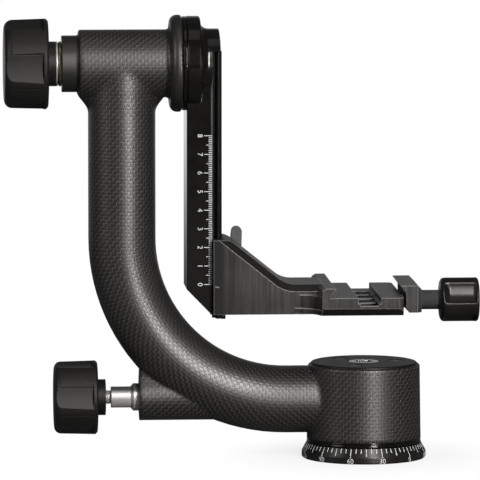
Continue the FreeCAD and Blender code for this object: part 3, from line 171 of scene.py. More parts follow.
def axesOf(start, coordinates):
    split = start.add("SeparateXYZ", feeds={0: start.add("TexCoord", output=coordinates)})
    return [split.out(axis) for axis in ("X", "Y", "Z")]


def placeOf(start):
    # object coordinates in millimetres, as three values
    return [along / millimetre for along in axesOf(start, "Object")]


def scaled(start, place, sizes):
    return start.add("CombineXYZ", feeds={i: place[i] / sizes[i] for i in range(3)})


def grain(start, place, size, detail=3.0, rough=0.55):
    # noise with a size in millimetres, one for all axes or one along each
    sizes = size if isinstance(size, tuple) else (size, size, size)
    feeds = {"Vector": scaled(start, place, sizes), "Scale": 1.0}
    feeds.update({"Detail": detail, "Roughness": rough})
    return start.add("TexNoise", {"noise_dimensions": "3D"}, feeds)


def edgeNormal(start, radius):
    # the normal with edges rounded by a radius in millimetres
    return start.add("Bevel", {"samples": 6}, {"Radius": radius * millimetre})


def bump(start, height, depth, edge=0.35):
    feeds = {"Height": height, "Distance": depth * millimetre, "Normal": edgeNormal(start, edge)}
    return start.add("Bump", feeds=feeds)


carbonCloth = {
    # colours, gloss and the noise over both
    # warp and weft differ in tone as painted sheen: how brightly each tow reflects, by its
    # direction, is put in its colour
    "warp": grey(0.0105, 0.07),
    "weft": grey(0.0055, 0.06),
    "gap": grey(0.003),
    # a paler colour painted along two sides of every warp float as their highlight
    "edge": grey(0.075, 0.04),
    "plain": grey(0.009, 0.05),
    "haze": grey(0.016, 0.1),
    "hazeShare": 0.15,
    "warpRoughness": 0.37,
    "weftRoughness": 0.43,
    "plainRoughness": 0.4,
    "edgeGloss": 0.05,
    "cloud": 26,
    "cloudSway": 0.08,
    "fine": 0.5,
    "fineSway": 0.05,
    "fineHeight": 0.04,
    # weave: length of a tow's crossing, and how many tows go round each tube
    "tow": 1.9,
    "tubeTows": 60,
    "cupTows": 100,
    "bossTows": 40,
    "fibres": 44.0,
    "fibreHeight": 0.04,
    "dip": 1.6,
    "gapShare": 0.28,
    "edgeWidth": 0.26,
    "edgeSoft": 0.4,
    "stairHighlightShare": 0.75,
    "overShare": 0.85,
    "depth": 0.036,
    # radii that soften the lit edges, and where the larger two come in
    "edgeRound": 0.3,
    "junctionRound": 6.0,
    "junctionSpread": (31.0, 24.0),
    "junctionRise": (183.0, 190.0),
    "junctionFall": (12.0, 2.0),
    "footRound": 2.4,
    "footRise": (49.0, 46.0),
    # the tubes' own places and sizes
    "columnX": -130.6,
    "columnRight": -60.0,
    "bendX": -42.6,
    "bendZ": 119.6,
    "bendRadius": 88.0,
    "footZ": 31.6,
    "tubeReach": 18.45,
    "barrelLow": 180.0,
    "barrelReach": 19.4,
    "cupReach": 31.2,
    "bossTop": 62.0,
    "collarEnd": -153.2,
    "flangeStart": -104.7,
}


def armRegions(x, y, z):
    # which tube a place is on, with the length along its cloth and the tows round it
    cloth = carbonCloth
    tiltRise = z - tiltHeight
    onBarrel = (z > cloth["barrelLow"]) * (tiltRise.reach(y) < cloth["barrelReach"])
    onCup = x.reach(y) < cloth["cupReach"]
    fromBendX = cloth["bendX"] - x
    fromBendZ = cloth["bendZ"] - z
    inBend = (fromBendX > 0.0) * (fromBendZ > 0.0)
    inColumn = (fromBendZ < 0.0) * (x < cloth["columnRight"])
    inFoot = 1 - (inBend + inColumn)
    outward = (
        inBend * (fromBendX.reach(fromBendZ) - cloth["bendRadius"])
        + inColumn * (cloth["columnX"] - x)
        + inFoot * (cloth["footZ"] - z)
    )
    alongTube = (
        inBend * fromBendZ.turn(fromBendX) * cloth["bendRadius"]
        + inColumn * fromBendZ
        + inFoot * (cloth["bendRadius"] * pi / 2 - fromBendX)
    )
    offTube = 1 - (outward.reach(y) < cloth["tubeReach"])
    onBoss = offTube * (z < cloth["bossTop"]) * (1 - onCup)
    onArm = (1 - onBarrel) * (1 - onCup) * (1 - onBoss)
    tubeTurn = cloth["tubeTows"] / (2 * pi)
    across = (
        onBarrel * (y.turn(tiltRise) * tubeTurn)
        + onCup * (y.turn(x) * (cloth["cupTows"] / (2 * pi)))
        + onBoss * (y.turn(z - panLockHeight) * (cloth["bossTows"] / (2 * pi)))
        + onArm * (y.turn(outward) * tubeTurn)
    )
    along = (onBarrel * x + onCup * z + onBoss * x + onArm * alongTube) / cloth["tow"]
    return along, across


def softening(x, y, z):
    # the lay-up flows softly from the column into the barrel, and round the foot
    cloth = carbonCloth
    nearColumn = (x - cloth["columnX"]).reach(y).ease(*cloth["junctionSpread"])
    underTop = (z - tiltHeight).ease(*cloth["junctionFall"])
    flow = z.ease(*cloth["junctionRise"]) * underTop * nearColumn
    foot = z.ease(*cloth["footRise"]) * cloth["footRound"]
    return flow * cloth["junctionRound"] + cloth["edgeRound"] + foot


def carbonFinish(start):
    cloth = carbonCloth
    x, y, z = placeOf(start)
    along, across = armRegions(x, y, z)
    over = ((across.floor() + along.floor()) * 0.5).part() * 2
    under = 1 - over
    sideways = across.part() - 0.5
    lengthways = along.part() - 0.5
    cross = over * sideways + under * lengthways
    run = over * lengthways + under * sideways
    pillow = (1 - (cross * cross * 4) ** 2.0) * (1 - run * run * cloth["dip"])
    fibres = (cross * cloth["fibres"]).wave() * cloth["fibreHeight"]
    # two sides of every warp float get a painted highlight, a paler colour where they would catch
    # the light, and these join up in a staircase
    width = cloth["edgeWidth"]
    clear = width * cloth["edgeSoft"]
    stairHighlight = along.part().ease(width, clear) + across.part().ease(1 - width, 1 - clear)
    stairHighlight = over * stairHighlight.least(1.0) * cloth["stairHighlightShare"]
    # the collar and the bearing flange are moulded plain
    flange = (x > cloth["flangeStart"]) * (z > cloth["barrelLow"])
    plain = ((x < cloth["collarEnd"]) + flange).least(1.0)
    woven = 1 - plain
    cloud = grain(start, (x, y, z), cloth["cloud"], 2.0)
    fine = grain(start, (x, y, z), cloth["fine"], 2.0)
    # the warp floats take the paler tone, a painted sheen
    warp = over * cloth["overShare"] + pillow * (1 - cloth["overShare"])
    tint = warp.mix(cloth["weft"], cloth["warp"])
    tint = pillow.ease(0.0, cloth["gapShare"]).mix(cloth["gap"], tint)
    tint = stairHighlight.mix(tint, cloth["edge"])
    tint = plain.mix(tint, cloth["plain"])
    tint = cloud.patches(cloth["hazeShare"]).mix(tint, cloth["haze"])
    roughness = over * cloth["warpRoughness"] + under * cloth["weftRoughness"]
    roughness = roughness * woven - stairHighlight * woven * cloth["edgeGloss"]
    roughness = roughness + plain * cloth["plainRoughness"] + cloud.sway(cloth["cloudSway"])
    height = (pillow + fibres) * woven + fine * cloth["fineHeight"]
    return {
        "Base Color": tint,
        "Roughness": roughness + fine.sway(cloth["fineSway"]),
        "Normal": bump(start, height, cloth["depth"], softening(x, y, z)),
    }


anodising = {"cloud": 9, "cloudSway": 0.08, "blast": 0.35, "depth": 0.003, "paler": 2.6}


def anodised(tint, rough, spread, speckle, edge=0.35):
    # black anodised metal: faint clouds in the dye, very fine blast texture
    def varying(start):
        place = placeOf(start)
        cloud = grain(start, place, anodising["cloud"])
        fine = grain(start, place, anodising["blast"], 2.0)
        faded = grey(tint[1] * anodising["paler"], 0.02)
        return {
            "Base Color": cloud.patches(spread).mix(tint, faded),
            "Roughness": rough + cloud.sway(anodising["cloudSway"]) + fine.sway(speckle),
            "Normal": bump(start, fine, anodising["depth"], edge),
        }
    return varying


satinKnob = {
    "dark": grey(0.006, 0.06),
    "light": grey(0.014, 0.04),
    "lightShare": 0.3,
    # the stem's grey is partly the turned metal's own tone and partly a painted highlight
    "stem": grey(0.16, 0.01),
    "stemMetal": 0.5,
    "stemFade": 0.2,
    "rough": 0.29,
    "cloud": 9,
    "cloudSway": 0.06,
    "ring": 0.2,
    "ringSway": 0.2,
    "depth": 0.0015,
}


def knobFinish(start):
    # satin black grip on a turned metal stem, whose paler grey is partly a painted highlight
    look = satinKnob
    place = placeOf(start)
    cloud = grain(start, place, look["cloud"])
    rings = grain(start, [place[0]] * 3, look["ring"])
    stem = place[0].ease(clampKnobStart + look["stemFade"], clampKnobStart - look["stemFade"])
    tint = cloud.patches(look["lightShare"]).mix(look["dark"], look["light"])
    roughness = look["rough"] + cloud.sway(look["cloudSway"])
    return {
        "Base Color": stem.mix(tint, look["stem"]),
        "Roughness": roughness + stem * rings.sway(look["ringSway"]),
        "Metallic": stem * look["stemMetal"],
        "Normal": bump(start, rings, look["depth"]),
    }


brushedAlloy = {
    "dark": grey(0.009, 0.08),
    "light": grey(0.06, 0.05),
    "worn": grey(0.07, 0.04),
    # painted shade on the slanted chamfer faces
    "chamferShade": grey(0.0105, 0.1),
    # a pale colour painted along the edges as their highlight
    "paintedEdgeHighlight": grey(0.45, 0.02),
    "edgeHighlightShare": 0.65,
    "edgeHighlightWidth": 0.5,
    "edgeHighlightFrom": (0.998, 0.93),
    "slantFrom": (0.25, 0.4),
    "slantTo": (0.97, 0.9),
    "edge": 0.75,
    "rough": 0.36,
    "depth": 0.02,
    "fineLines": (0.5, 0.5, 22.0),
    "fineShare": 0.45,
    "fineSway": 0.2,
    "fineHeight": 0.5,
    "broadLines": (1.9, 1.9, 46.0),
    "broadShare": 0.55,
    "broadSway": 0.3,
    "broadHeight": 2.0,
    "cloud": 16,
    "cloudSway": 0.1,
    "wornShare": 0.3,
    # painted shade: the paler lines and patches fade to dark on the rail clamp, near the arm and
    # towards the underside
    "clampStart": -78.5,
    "clampEnd": -75.0,
    "clampShare": 0.1,
    "clampDull": 0.35,
    "leftDark": -84.0,
    "rightLight": -38.0,
    "leftShare": 0.3,
    "lowDark": 81.0,
    "highLight": 97.0,
    "lowShare": 0.6,
}


def brushedFinish(start):
    # dark bronze-grey anodising over vertical brush lines, with shade painted in near the arm, on
    # the rail clamp and towards the underside
    look = brushedAlloy
    place = placeOf(start)
    x, z = place[0], place[2]
    fine = grain(start, place, look["fineLines"], 4.0, 0.7)
    broad = grain(start, place, look["broadLines"])
    cloud = grain(start, place, look["cloud"], 2.0)
    mark = fine.patches(look["fineShare"]) + broad.patches(look["broadShare"])
    # painted shade: the brush lines show less near the arm, on the rail clamp and low down
    reach = x.ease(look["leftDark"], look["rightLight"], look["leftShare"])
    reach = reach * z.ease(look["lowDark"], look["highLight"], look["lowShare"])
    reach = reach * x.ease(look["clampStart"], look["clampEnd"], look["clampShare"])
    tint = (mark * reach).mix(look["dark"], look["light"])
    worn = cloud.patches(look["wornShare"], 0.4, 0.75) * reach
    tint = worn.mix(tint, look["worn"])
    # slanted faces get a painted dark shade, and the edges beside them a painted highlight
    slant = abs(axesOf(start, "Normal")[2])
    chamferShade = slant.ease(*look["slantFrom"]) * slant.ease(*look["slantTo"])
    tint = chamferShade.mix(tint, look["chamferShade"])
    # painted highlight: the edges, found where the rounded normal turns away from the flat one,
    # are made pale
    flat = start.add("NewGeometry", output="Normal")
    feeds = {0: edgeNormal(start, look["edgeHighlightWidth"]), 1: flat}
    straight = start.add("VectorMath", {"operation": "DOT_PRODUCT"}, feeds, "Value")
    edgeHighlight = straight.ease(*look["edgeHighlightFrom"]) * look["edgeHighlightShare"]
    dull = x.ease(look["clampEnd"], look["clampStart"]) * look["clampDull"]
    roughness = look["rough"] + dull + fine.sway(look["fineSway"])
    roughness = roughness + broad.sway(look["broadSway"]) + cloud.sway(look["cloudSway"])
    height = fine * look["fineHeight"] + broad * look["broadHeight"]
    return {
        "Base Color": edgeHighlight.mix(tint, look["paintedEdgeHighlight"]),
        "Roughness": roughness,
        "Normal": bump(start, height, look["depth"], look["edge"]),
    }


mouldedGrip = {
    "dark": grey(0.006, 0.04),
    "light": grey(0.0095, 0.04),
    "lightShare": 0.5,
    "dust": grey(0.03),
    "dustShare": 0.3,
    "rough": 0.45,
    "pebble": 0.42,
    "pebbleHeight": 0.7,
    "spark": 0.25,
    "sparkSway": 0.14,
    "sparkHeight": 0.5,
    "cloud": 11,
    "cloudSway": 0.08,
    "depth": 0.01,
    # thin grooves along both grips, bumped in and darkened by painted shade; the shift turns them
    # by shares of their spacing
    "grooveShade": grey(0.002),
    "grooves": 8,
    "grooveWidth": 0.028,
    "grooveSoft": 0.4,
    "grooveDepth": 9.0,
    "grooveEnd": 0.6,
    "split": 120.0,  # a height between the two grips
    "tilt": {"axis": tiltHeight, "left": -190.8, "right": -174.6, "shift": 0.144},
    "pan": {"axis": panLockHeight, "left": -163.8, "right": -146.8, "shift": 0.0},
}


def gripGroove(place, grip, here):
    # the grooves of one grip, where a mask says that it is this grip
    look = mouldedGrip
    x, y, z = place
    turn = (z - grip["axis"]).turn(y) * (look["grooves"] / (2 * pi))
    width, end = look["grooveWidth"], look["grooveEnd"]
    line = abs((turn - grip["shift"]).part() - 0.5).ease(width, width * look["grooveSoft"])
    line = line * here * x.ease(grip["left"] - end, grip["left"])
    return line * x.ease(grip["right"] + end, grip["right"])


def mouldedFinish(start):
    # matt moulded grips: fine spark texture, a little dust grey
    look = mouldedGrip
    place = placeOf(start)
    high = place[2] > look["split"]
    grooveShade = gripGroove(place, look["tilt"], high) + gripGroove(place, look["pan"], 1 - high)
    spots = scaled(start, place, (look["pebble"],) * 3)
    pebble = start.add("TexVoronoi", feeds={"Vector": spots, "Scale": 1.0})
    spark = grain(start, place, look["spark"])
    cloud = grain(start, place, look["cloud"])
    tint = cloud.patches(look["lightShare"], 0.3, 0.75).mix(look["dark"], look["light"])
    tint = spark.patches(look["dustShare"], 0.62, 0.8).mix(tint, look["dust"])
    height = pebble * look["pebbleHeight"] + spark * look["sparkHeight"]
    roughness = look["rough"] + spark.sway(look["sparkSway"]) + cloud.sway(look["cloudSway"])
    # the grooves' dark colour is painted shade
    return {
        "Base Color": grooveShade.mix(tint, look["grooveShade"]),
        "Roughness": roughness,
        "Normal": bump(start, height - grooveShade * look["grooveDepth"], look["depth"]),
    }


turnedMetal = {
    "ring": 0.16,
    "ringSway": 0.16,
    "cloud": 4,
    "cloudSway": 0.1,
    "tarnishShare": 0.7,
    "depth": 0.01,
    "upperDark": grey(0.04, 0.05),
    "upperDarkShare": 0.8,
    "fadeBelow": 0.8,
    "fadeAbove": 1.2,
}
alongX, alongZ = 0, 2  # which of a place's values the rings follow


def turned(tint, tarnish, axis, rough, darkerFrom=None):
    # lathe-turned metal: rings round the axis, slight tarnish, darker above one height
    def varying(start):
        look = turnedMetal
        place = placeOf(start)
        rings = grain(start, [place[axis]] * 3, look["ring"])
        cloud = grain(start, place, look["cloud"])
        shade = cloud.patches(look["tarnishShare"], 0.35, 0.75).mix(tint, tarnish)
        if darkerFrom:
            low, high = darkerFrom - look["fadeBelow"], darkerFrom + look["fadeAbove"]
            shade = place[2].patches(look["upperDarkShare"], low, high).mix(shade, look["upperDark"])
        return {
            "Base Color": shade,
            "Roughness": rough + rings.sway(look["ringSway"]) + cloud.sway(look["cloudSway"]),
            "Normal": bump(start, rings, look["depth"]),
        }
    return varying


blastedAlloy = {
    "dark": grey(0.0385),
    "light": grey(0.0715),
    "lightShare": 0.6,
    "rough": 0.42,
    "blast": 0.3,
    "blastSway": 0.2,
    "cloud": 5,
    "cloudSway": 0.1,
    "depth": 0.03,
}


def blastedFinish(start):
    # bead-blasted alloy
    look = blastedAlloy
    place = placeOf(start)
    blast = grain(start, place, look["blast"])
    cloud = grain(start, place, look["cloud"])
    pale = blast.patches(look["lightShare"], 0.25, 0.75)
    roughness = look["rough"] + blast.sway(look["blastSway"]) + cloud.sway(look["cloudSway"])
    return {
        "Base Color": pale.mix(look["dark"], look["light"]),
        "Roughness": roughness,
        "Normal": bump(start, blast, look["depth"]),
    }


scalePaint = {"wear": 1.6, "wearRange": (0.3, 0.62), "rough": 0.5, "wearSway": 0.3}


def painted(thin, full):
    # printed scale paint, thinned here and there by handling
    def varying(start):
        wear = grain(start, placeOf(start), scalePaint["wear"], 4.0)
        return {
            "Base Color": wear.ease(*scalePaint["wearRange"]).mix(grey(thin), grey(full)),
            "Roughness": scalePaint["rough"] + wear.sway(scalePaint["wearSway"]),
        }
    return varying


def sheen(level, tint=(1.0, 0.965, 0.915, 1)):
    # uniform values of a black finish, with slightly warm reflections
    return {"Specular IOR Level": level, "Specular Tint": tint}


finishes = {
    "carbon": finish("carbonCloth", sheen(0.8, grey(0.98, 0.02)), carbonFinish),
    "gloss": finish("glossBlack", sheen(0.5), anodised(
        tint=grey(0.003, 0.08), rough=0.13, spread=0.3, speckle=0.03, edge=0.9)),
    "satin": finish("satinBlack", sheen(0.5), anodised(
        tint=grey(0.006, 0.06), rough=0.3, spread=0.4, speckle=0.08)),
    "flat": finish("flatBlack", sheen(0.28), anodised(
        tint=grey(0.0045, 0.06), rough=0.46, spread=0.3, speckle=0.1)),
    "brushed": finish("brushedBronzeGrey", sheen(0.2), brushedFinish),
    "moulded": finish("mouldedGrip", sheen(0.42), mouldedFinish),
    "knob": finish("satinKnob", sheen(0.36), knobFinish),
    "nickel": finish("turnedNickel", {"Metallic": 0.7}, turned(
        tint=grey(0.68, 0.02), tarnish=grey(0.52, 0.05), axis=alongX, rough=0.3)),
    "bush": finish("turnedNickelBush", {"Metallic": 0.7}, turned(
        tint=grey(0.7, 0.03), tarnish=grey(0.56, 0.06), axis=alongX, rough=0.3, darkerFrom=36.8)),
    "brass": finish("turnedBrass", {"Metallic": 0.85}, turned(
        tint=(0.5, 0.41, 0.24, 1), tarnish=(0.36, 0.27, 0.14, 1), axis=alongX, rough=0.3)),
    "steel": finish("bearingSteel", {"Metallic": 1.0}, turned(
        tint=grey(0.58, -0.01), tarnish=grey(0.45, 0.02), axis=alongZ, rough=0.2)),
    "alloy": finish("machinedAlloy", {"Metallic": 1.0}, turned(
        tint=grey(0.6), tarnish=grey(0.5, 0.02), axis=alongZ, rough=0.33)),
    "screw": finish("blackOxide", {"Specular IOR Level": 0.5}, anodised(
        tint=grey(0.007, 0.03), rough=0.34, spread=0.5, speckle=0.12)),
    "lever": finish("blastedGrey", {"Metallic": 0.5}, blastedFinish),
    "paint": finish("scalePaint", {"Specular IOR Level": 0.3}, painted(thin=0.42, full=0.62)),
    "faintPaint": finish("faintPaint", {"Specular IOR Level": 0.3}, painted(thin=0.11, full=0.17)),
}

nodeFinishes = {
    "carbon": ["j_arm_shell"],
    "gloss": ["swing_arm", "tilt_seal_ring", "base_trim_ring"],
    "satin": ["degree_ring", "clamp_knob", "tilt_knob_core"],
    "flat": ["base_plate", "base_cap", "pan_knob_core", "tilt_friction_washer"],
    "brushed": ["platform_bracket", "moving_jaw"],
    "moulded": ["tilt_knob_grip", "pan_knob_grip"],
    "bush": ["pan_lock_bush"],
    "nickel": ["pan_lock_screw", "tilt_thrust_washer", "tilt_shaft", "pan_push_rod",
               "clamp_screw_clip", "platform_lock_screw"],
    "brass": ["tilt_brass_washer", "pan_brake_shoe", "rail_gib", "tripod_thread_insert"],
    "steel": ["pan_bearing_balls", "pan_lower_race", "pan_upper_race", "tilt_balls_left",
              "tilt_balls_right", "tilt_inner_race_left", "tilt_inner_race_right",
              "tilt_outer_race_left", "tilt_outer_race_right", "spindle_washer", "centre_screw"],
    "alloy": ["pan_spindle", "pan_hub", "tilt_hub_sleeve"],
    "screw": ["base_plate_screws", "base_cap_screws", "arm_screw", "rail_stop_screws",
              "lever_cap_screw", "clamp_screw", "jaw_guide_pins"],
    "lever": ["platform_lock_lever"],
}
for name, members in nodeFinishes.items():
    for member in members:
        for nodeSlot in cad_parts[member].material_slots:
            nodeSlot.material = finishes[name]
print("finishes: ", len(finishes), "on", sum(len(m) for m in nodeFinishes.values()), "nodes")


def makePiece(name, mesh, finishName, body, smooth=False):
    # every piece keeps its place in its vertices, in metres
    data = bpy.data.meshes.new(name)
    bmesh.ops.recalc_face_normals(mesh, faces=mesh.faces)
    bmesh.ops.scale(mesh, vec=Vector((1, 1, 1)) * millimetre, verts=mesh.verts)
    mesh.to_mesh(data)
    mesh.free()
    for face in data.polygons:
        face.use_smooth = smooth
    piece = bpy.data.objects.new(name, data)
    scene.collection.objects.link(piece)
    data.materials.append(finishes[finishName])
    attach(piece, body)
    return piece


def bridge(mesh, ring, after):
    # faces between two rings of vertices, either of which may be a single point
    count = max(len(ring), len(after))
    for i in range(count):
        j = (i + 1) % count
        if len(ring) == 1:
            mesh.faces.new((ring[0], after[i], after[j]))
        elif len(after) == 1:
            mesh.faces.new((ring[i], ring[j], after[0]))
        else:
            mesh.faces.new((ring[i], ring[j], after[j], after[i]))


def addMark(mesh, corners, outward, paint):
    # a thin outline from a little under a surface to a little over it
    below = [mesh.verts.new(Vector(c) - outward * paint["sink"]) for c in corners]
    above = [mesh.verts.new(Vector(c) + outward * paint["lift"]) for c in corners]
    mesh.faces.new(above)
    mesh.faces.new(below[::-1])
    bridge(mesh, below, above)


def addDigits(mesh, words, paint, lay):
    # flat figures laid on a surface by a function of (along, up, out)
    letters = bpy.data.curves.new("figures", "FONT")
    letters.body = words
    letters.size = paint["figureSize"]
    letters.align_x = "CENTER"
    letters.align_y = "CENTER"
    letters.resolution_u = 3
    letters.extrude = 1.0
    holder = bpy.data.objects.new("figures", letters)
    scene.collection.objects.link(holder)
    bpy.context.view_layer.update()
    evaluated = holder.evaluated_get(bpy.context.evaluated_depsgraph_get())
    data = bpy.data.meshes.new_from_object(evaluated)
    heights = [v.co.y for v in data.vertices]
    middle = (max(heights) + min(heights)) / 2
    known = []
    for vertex in data.vertices:
        out = paint["lift"] if vertex.co.z > 0 else -paint["sink"]
        known.append(mesh.verts.new(lay(vertex.co.x, vertex.co.y - middle, out)))
    for face in data.polygons:
        mesh.faces.new([known[i] for i in face.vertices])
    bpy.data.objects.remove(holder)
    bpy.data.curves.remove(letters)
    bpy.data.meshes.remove(data)


def lineEnd(scale, number, middle, long):
    # where a line ends: furthest on every long step, less far on every middle step
    if number % long == 0:
        return scale["longEnd"]
    return scale["shortEnd"] if number % middle else scale["middleEnd"]


armScale = {
    "face": -15.0,
    "zero": 95.7,
    "lines": 81,
    "rightEnd": -82.95,
    "shortEnd": -84.8,
    "middleEnd": -86.1,
    "longEnd": -87.3,
    "lineWidth": 0.36,
    "figureX": -89.35,
    "figureSize": 3.9,
    "sink": 0.02,
    "lift": 0.03,
}


def printArmScale(scale):
    # millimetre lines up the arm's front face, with a figure lying beside every tenth
    face, right = scale["face"], scale["rightEnd"]
    mesh = bmesh.new()
    for line in range(scale["lines"]):
        height = scale["zero"] + line
        left = lineEnd(scale, line, 5, 10)
        low = height - scale["lineWidth"] / 2
        high = low + scale["lineWidth"]
        corners = [(left, face, low), (right, face, low), (right, face, high), (left, face, high)]
        addMark(mesh, corners, Vector((0, -1, 0)), scale)
        if line % 10 == 0:
            def lay(along, up, out, height=height):
                return Vector((scale["figureX"] + up, face - out, height - along))
            addDigits(mesh, str(line // 10), scale, lay)
    makePiece("arm_height_scale", mesh, "paint", "swing")


printArmScale(armScale)
print("arm scale: ", armScale["lines"], "lines")

degreeScale = {
    "zeroTurn": 42.7,
    "step": 5,
    "coneTop": 8.2,
    "coneTopRadius": 30.95,
    "band": 3.5,
    "bandRadius": 33.5,
    "start": 7.95,
    "shortEnd": 5.7,
    "middleEnd": 4.3,
    "longEnd": 3.2,
    "lineWidth": 0.42,
    "figureHeight": 1.72,
    "figureSize": 3.7,
    "sink": 0.03,
    "lift": 0.04,
}


def printDegreeScale(scale):
    # lines down the ring's cone, the long ones on over its band, and figures on the band
    band, reach = scale["band"], scale["bandRadius"]
    run = scale["coneTop"] - band
    drop = reach - scale["coneTopRadius"]

    def onRing(radial, height):
        return radial * (reach - max(0.0, height - band) * drop / run) + Vector((0, 0, height))

    mesh = bmesh.new()
    for value in range(0, 360, scale["step"]):
        turn = radians(scale["zeroTurn"] - value)
        radial = Vector((sin(turn), -cos(turn), 0))
        sideways = Vector((cos(turn), sin(turn), 0)) * (scale["lineWidth"] / 2)
        coneOut = (radial * run + Vector((0, 0, drop))).normalized()
        low = lineEnd(scale, value, 15, 30)
        high = onRing(radial, scale["start"])
        foot = onRing(radial, max(low, band))
        corners = [foot - sideways, foot + sideways, high + sideways, high - sideways]
        addMark(mesh, corners, coneOut, scale)
        if low < band:
            end = onRing(radial, low)
            corners = [end - sideways, end + sideways, foot + sideways, foot - sideways]
            addMark(mesh, corners, radial, scale)
        if value % 30 == 0:
            def lay(along, up, out, turn=turn):
                spot = turn + along / reach
                far = reach + out
                return Vector((far * sin(spot), -far * cos(spot), scale["figureHeight"] + up))
            addDigits(mesh, str(value), scale, lay)
    makePiece("pan_degree_scale", mesh, "paint", "base")


printDegreeScale(degreeScale)
print("degree scale: ", 360 // degreeScale["step"], "lines")

indexMark = {
    "face": -20.5,
    "left": -81.6,
    "right": -79.4,
    "leftLow": 94.625,
    "leftHigh": 95.425,
    "rightLow": 94.275,
    "rightHigh": 94.825,
    "sink": 0.02,
    "lift": 0.03,
}


def printIndexMark(mark):
    # a hand-printed dash that narrows to the right
    mesh = bmesh.new()
    face = mark["face"]
    corners = [(mark["left"], face, mark["leftLow"]), (mark["right"], face, mark["rightLow"]),
               (mark["right"], face, mark["rightHigh"]), (mark["left"], face, mark["leftHigh"])]
    addMark(mesh, corners, Vector((0, -1, 0)), mark)
    makePiece("height_index_mark", mesh, "faintPaint", "platform")


printIndexMark(indexMark)
print("index mark")

scallopedKnob = {
    "stem": 5.25,
    "radius": 12.1,
    "leftCorner": 2.9,
    "rightCorner": 1.9,
    "count": 4,
    "turn": 25.0,
    "floor": 8.6,
    "hollow": 9.8,
    "leftRim": 0.4,
    "leftFade": 4.5,
    "rightRim": 1.3,
    "rightFade": 0.9,
    "soft": 0.3,
    "endRing": 0.5,
    "around": 240,
    "cornerSteps": 8,
    "straightSteps": 24,
}


def knobProfile(knob, first, last):
    # places and radii along the axis, from the stem's end to the middle of the end face
    radius, left, right = knob["radius"], knob["leftCorner"], knob["rightCorner"]
    begin, end = clampKnobStart + left, last - right
    quarter = [pi / 2 * i / knob["cornerSteps"] for i in range(knob["cornerSteps"] + 1)]
    steps = knob["straightSteps"]
    profile = [(first, 0.0), (first, knob["stem"]), (clampKnobStart, knob["stem"])]
    profile += [(begin - left * cos(turn), radius - left * (1 - sin(turn))) for turn in quarter]
    profile += [(begin + (end - begin) * i / steps, radius) for i in range(1, steps)]
    profile += [(end + right * sin(turn), radius - right * (1 - cos(turn))) for turn in quarter]
    return profile + [(last, radius * knob["endRing"]), (last, 0.0)]


def easeIn(value):
    value = min(1.0, max(0.0, value))
    return value * value * (3 - 2 * value)


def scallopCut(knob, spot):
    # how deep a scallop goes at an angle round the axis, with its edges slightly broken
    centre = knob["floor"] + knob["hollow"]
    step = 2 * pi / knob["count"]
    away = (spot - radians(knob["turn"]) + step / 2) % step - step / 2
    under = knob["hollow"] ** 2 - (centre * sin(away)) ** 2
    cut = knob["radius"] - (centre * cos(away) - under ** 0.5) if under > 0 else -1.0
    return (cut + hypot(cut, knob["soft"])) / 2


def turnKnob(knob):
    # scallops that run out softly to the left and end at a rim on the right
    low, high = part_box("clamp_knob")
    screwLow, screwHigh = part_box("clamp_screw")
    axis = (screwLow[2] + screwHigh[2]) / 2 / millimetre
    first, last = low[0] / millimetre, high[0] / millimetre
    spots = [2 * pi * i / knob["around"] for i in range(knob["around"])]
    cuts = [scallopCut(knob, spot) for spot in spots]
    mesh = bmesh.new()
    rings = []
    for place, reach in knobProfile(knob, first, last):
        if reach == 0.0:
            rings.append([mesh.verts.new((place, 0, axis))])
            continue
        depth = easeIn((place - clampKnobStart - knob["leftRim"]) / knob["leftFade"])
        depth *= easeIn((last - place - knob["rightRim"]) / knob["rightFade"])
        ring = []
        for spot, cut in zip(spots, cuts):
            here = min(reach, knob["radius"] - depth * cut)
            ring.append(mesh.verts.new((place, -here * cos(spot), axis + here * sin(spot))))
        rings.append(ring)
    for ring, after in zip(rings, rings[1:]):
        bridge(mesh, ring, after)
    piece = makePiece("clamp_knob_scalloped", mesh, "knob", "clamp", True)
    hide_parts("clamp_knob")


turnKnob(scallopedKnob)
print("clamp knob: ", scallopedKnob["count"], "scallops")

threads = {
    # an inside thread has its crest under its root
    "tripod_thread_ridge": {
        "low": 0.6, "high": 11.4, "root": 4.78, "crest": 4.0, "pitch": 1.5875,
        "height": None, "finish": "brass", "slot": "brass", "body": "base",
    },
    "pan_lock_thread": {
        "low": -139.6, "high": -136.8, "root": 3.38, "crest": 3.8, "pitch": 0.8,
        "height": panLockHeight, "finish": "nickel", "slot": "nickel", "body": "pan_knob",
    },
}
threadForm = {"perTurn": 40, "runOut": 3, "rootHalf": 0.46, "crestHalf": 0.1}


def cutThread(name, thread):
    # one ridge wound up the pan axis, or along X at a height above the base
    pitch, root, perTurn = thread["pitch"], thread["root"], threadForm["perTurn"]
    steps = int(((thread["high"] - thread["low"]) / pitch - 1) * perTurn)
    rootHalf, crestHalf = threadForm["rootHalf"] * pitch, threadForm["crestHalf"] * pitch
    mesh = bmesh.new()
    rings = []
    for i in range(steps + 1):
        spot = 2 * pi * i / perTurn
        middle = thread["low"] + pitch / 2 + pitch * i / perTurn
        fade = min(1.0, i / perTurn * threadForm["runOut"],
                   (steps - i) / perTurn * threadForm["runOut"])
        top = root + (thread["crest"] - root) * fade
        section = [(root, -rootHalf), (top, -crestHalf), (top, crestHalf), (root, rootHalf)]
        ring = []
        for reach, shift in section:
            place = (reach * cos(spot), reach * sin(spot), middle + shift)
            if thread["height"]:
                place = (place[2], place[0], thread["height"] + place[1])
            ring.append(mesh.verts.new(place))
        rings.append(ring)
    for ring, after in zip(rings, rings[1:]):
        for j in range(4):
            k = (j + 1) % 4
            mesh.faces.new((ring[j], after[j], after[k], ring[k]))
    mesh.faces.new(rings[0])
    mesh.faces.new(rings[-1][::-1])
    makePiece(name, mesh, thread["finish"], thread["body"], True)


for name, thread in threads.items():
    cutThread(name, thread)
print("threads: ", len(threads))

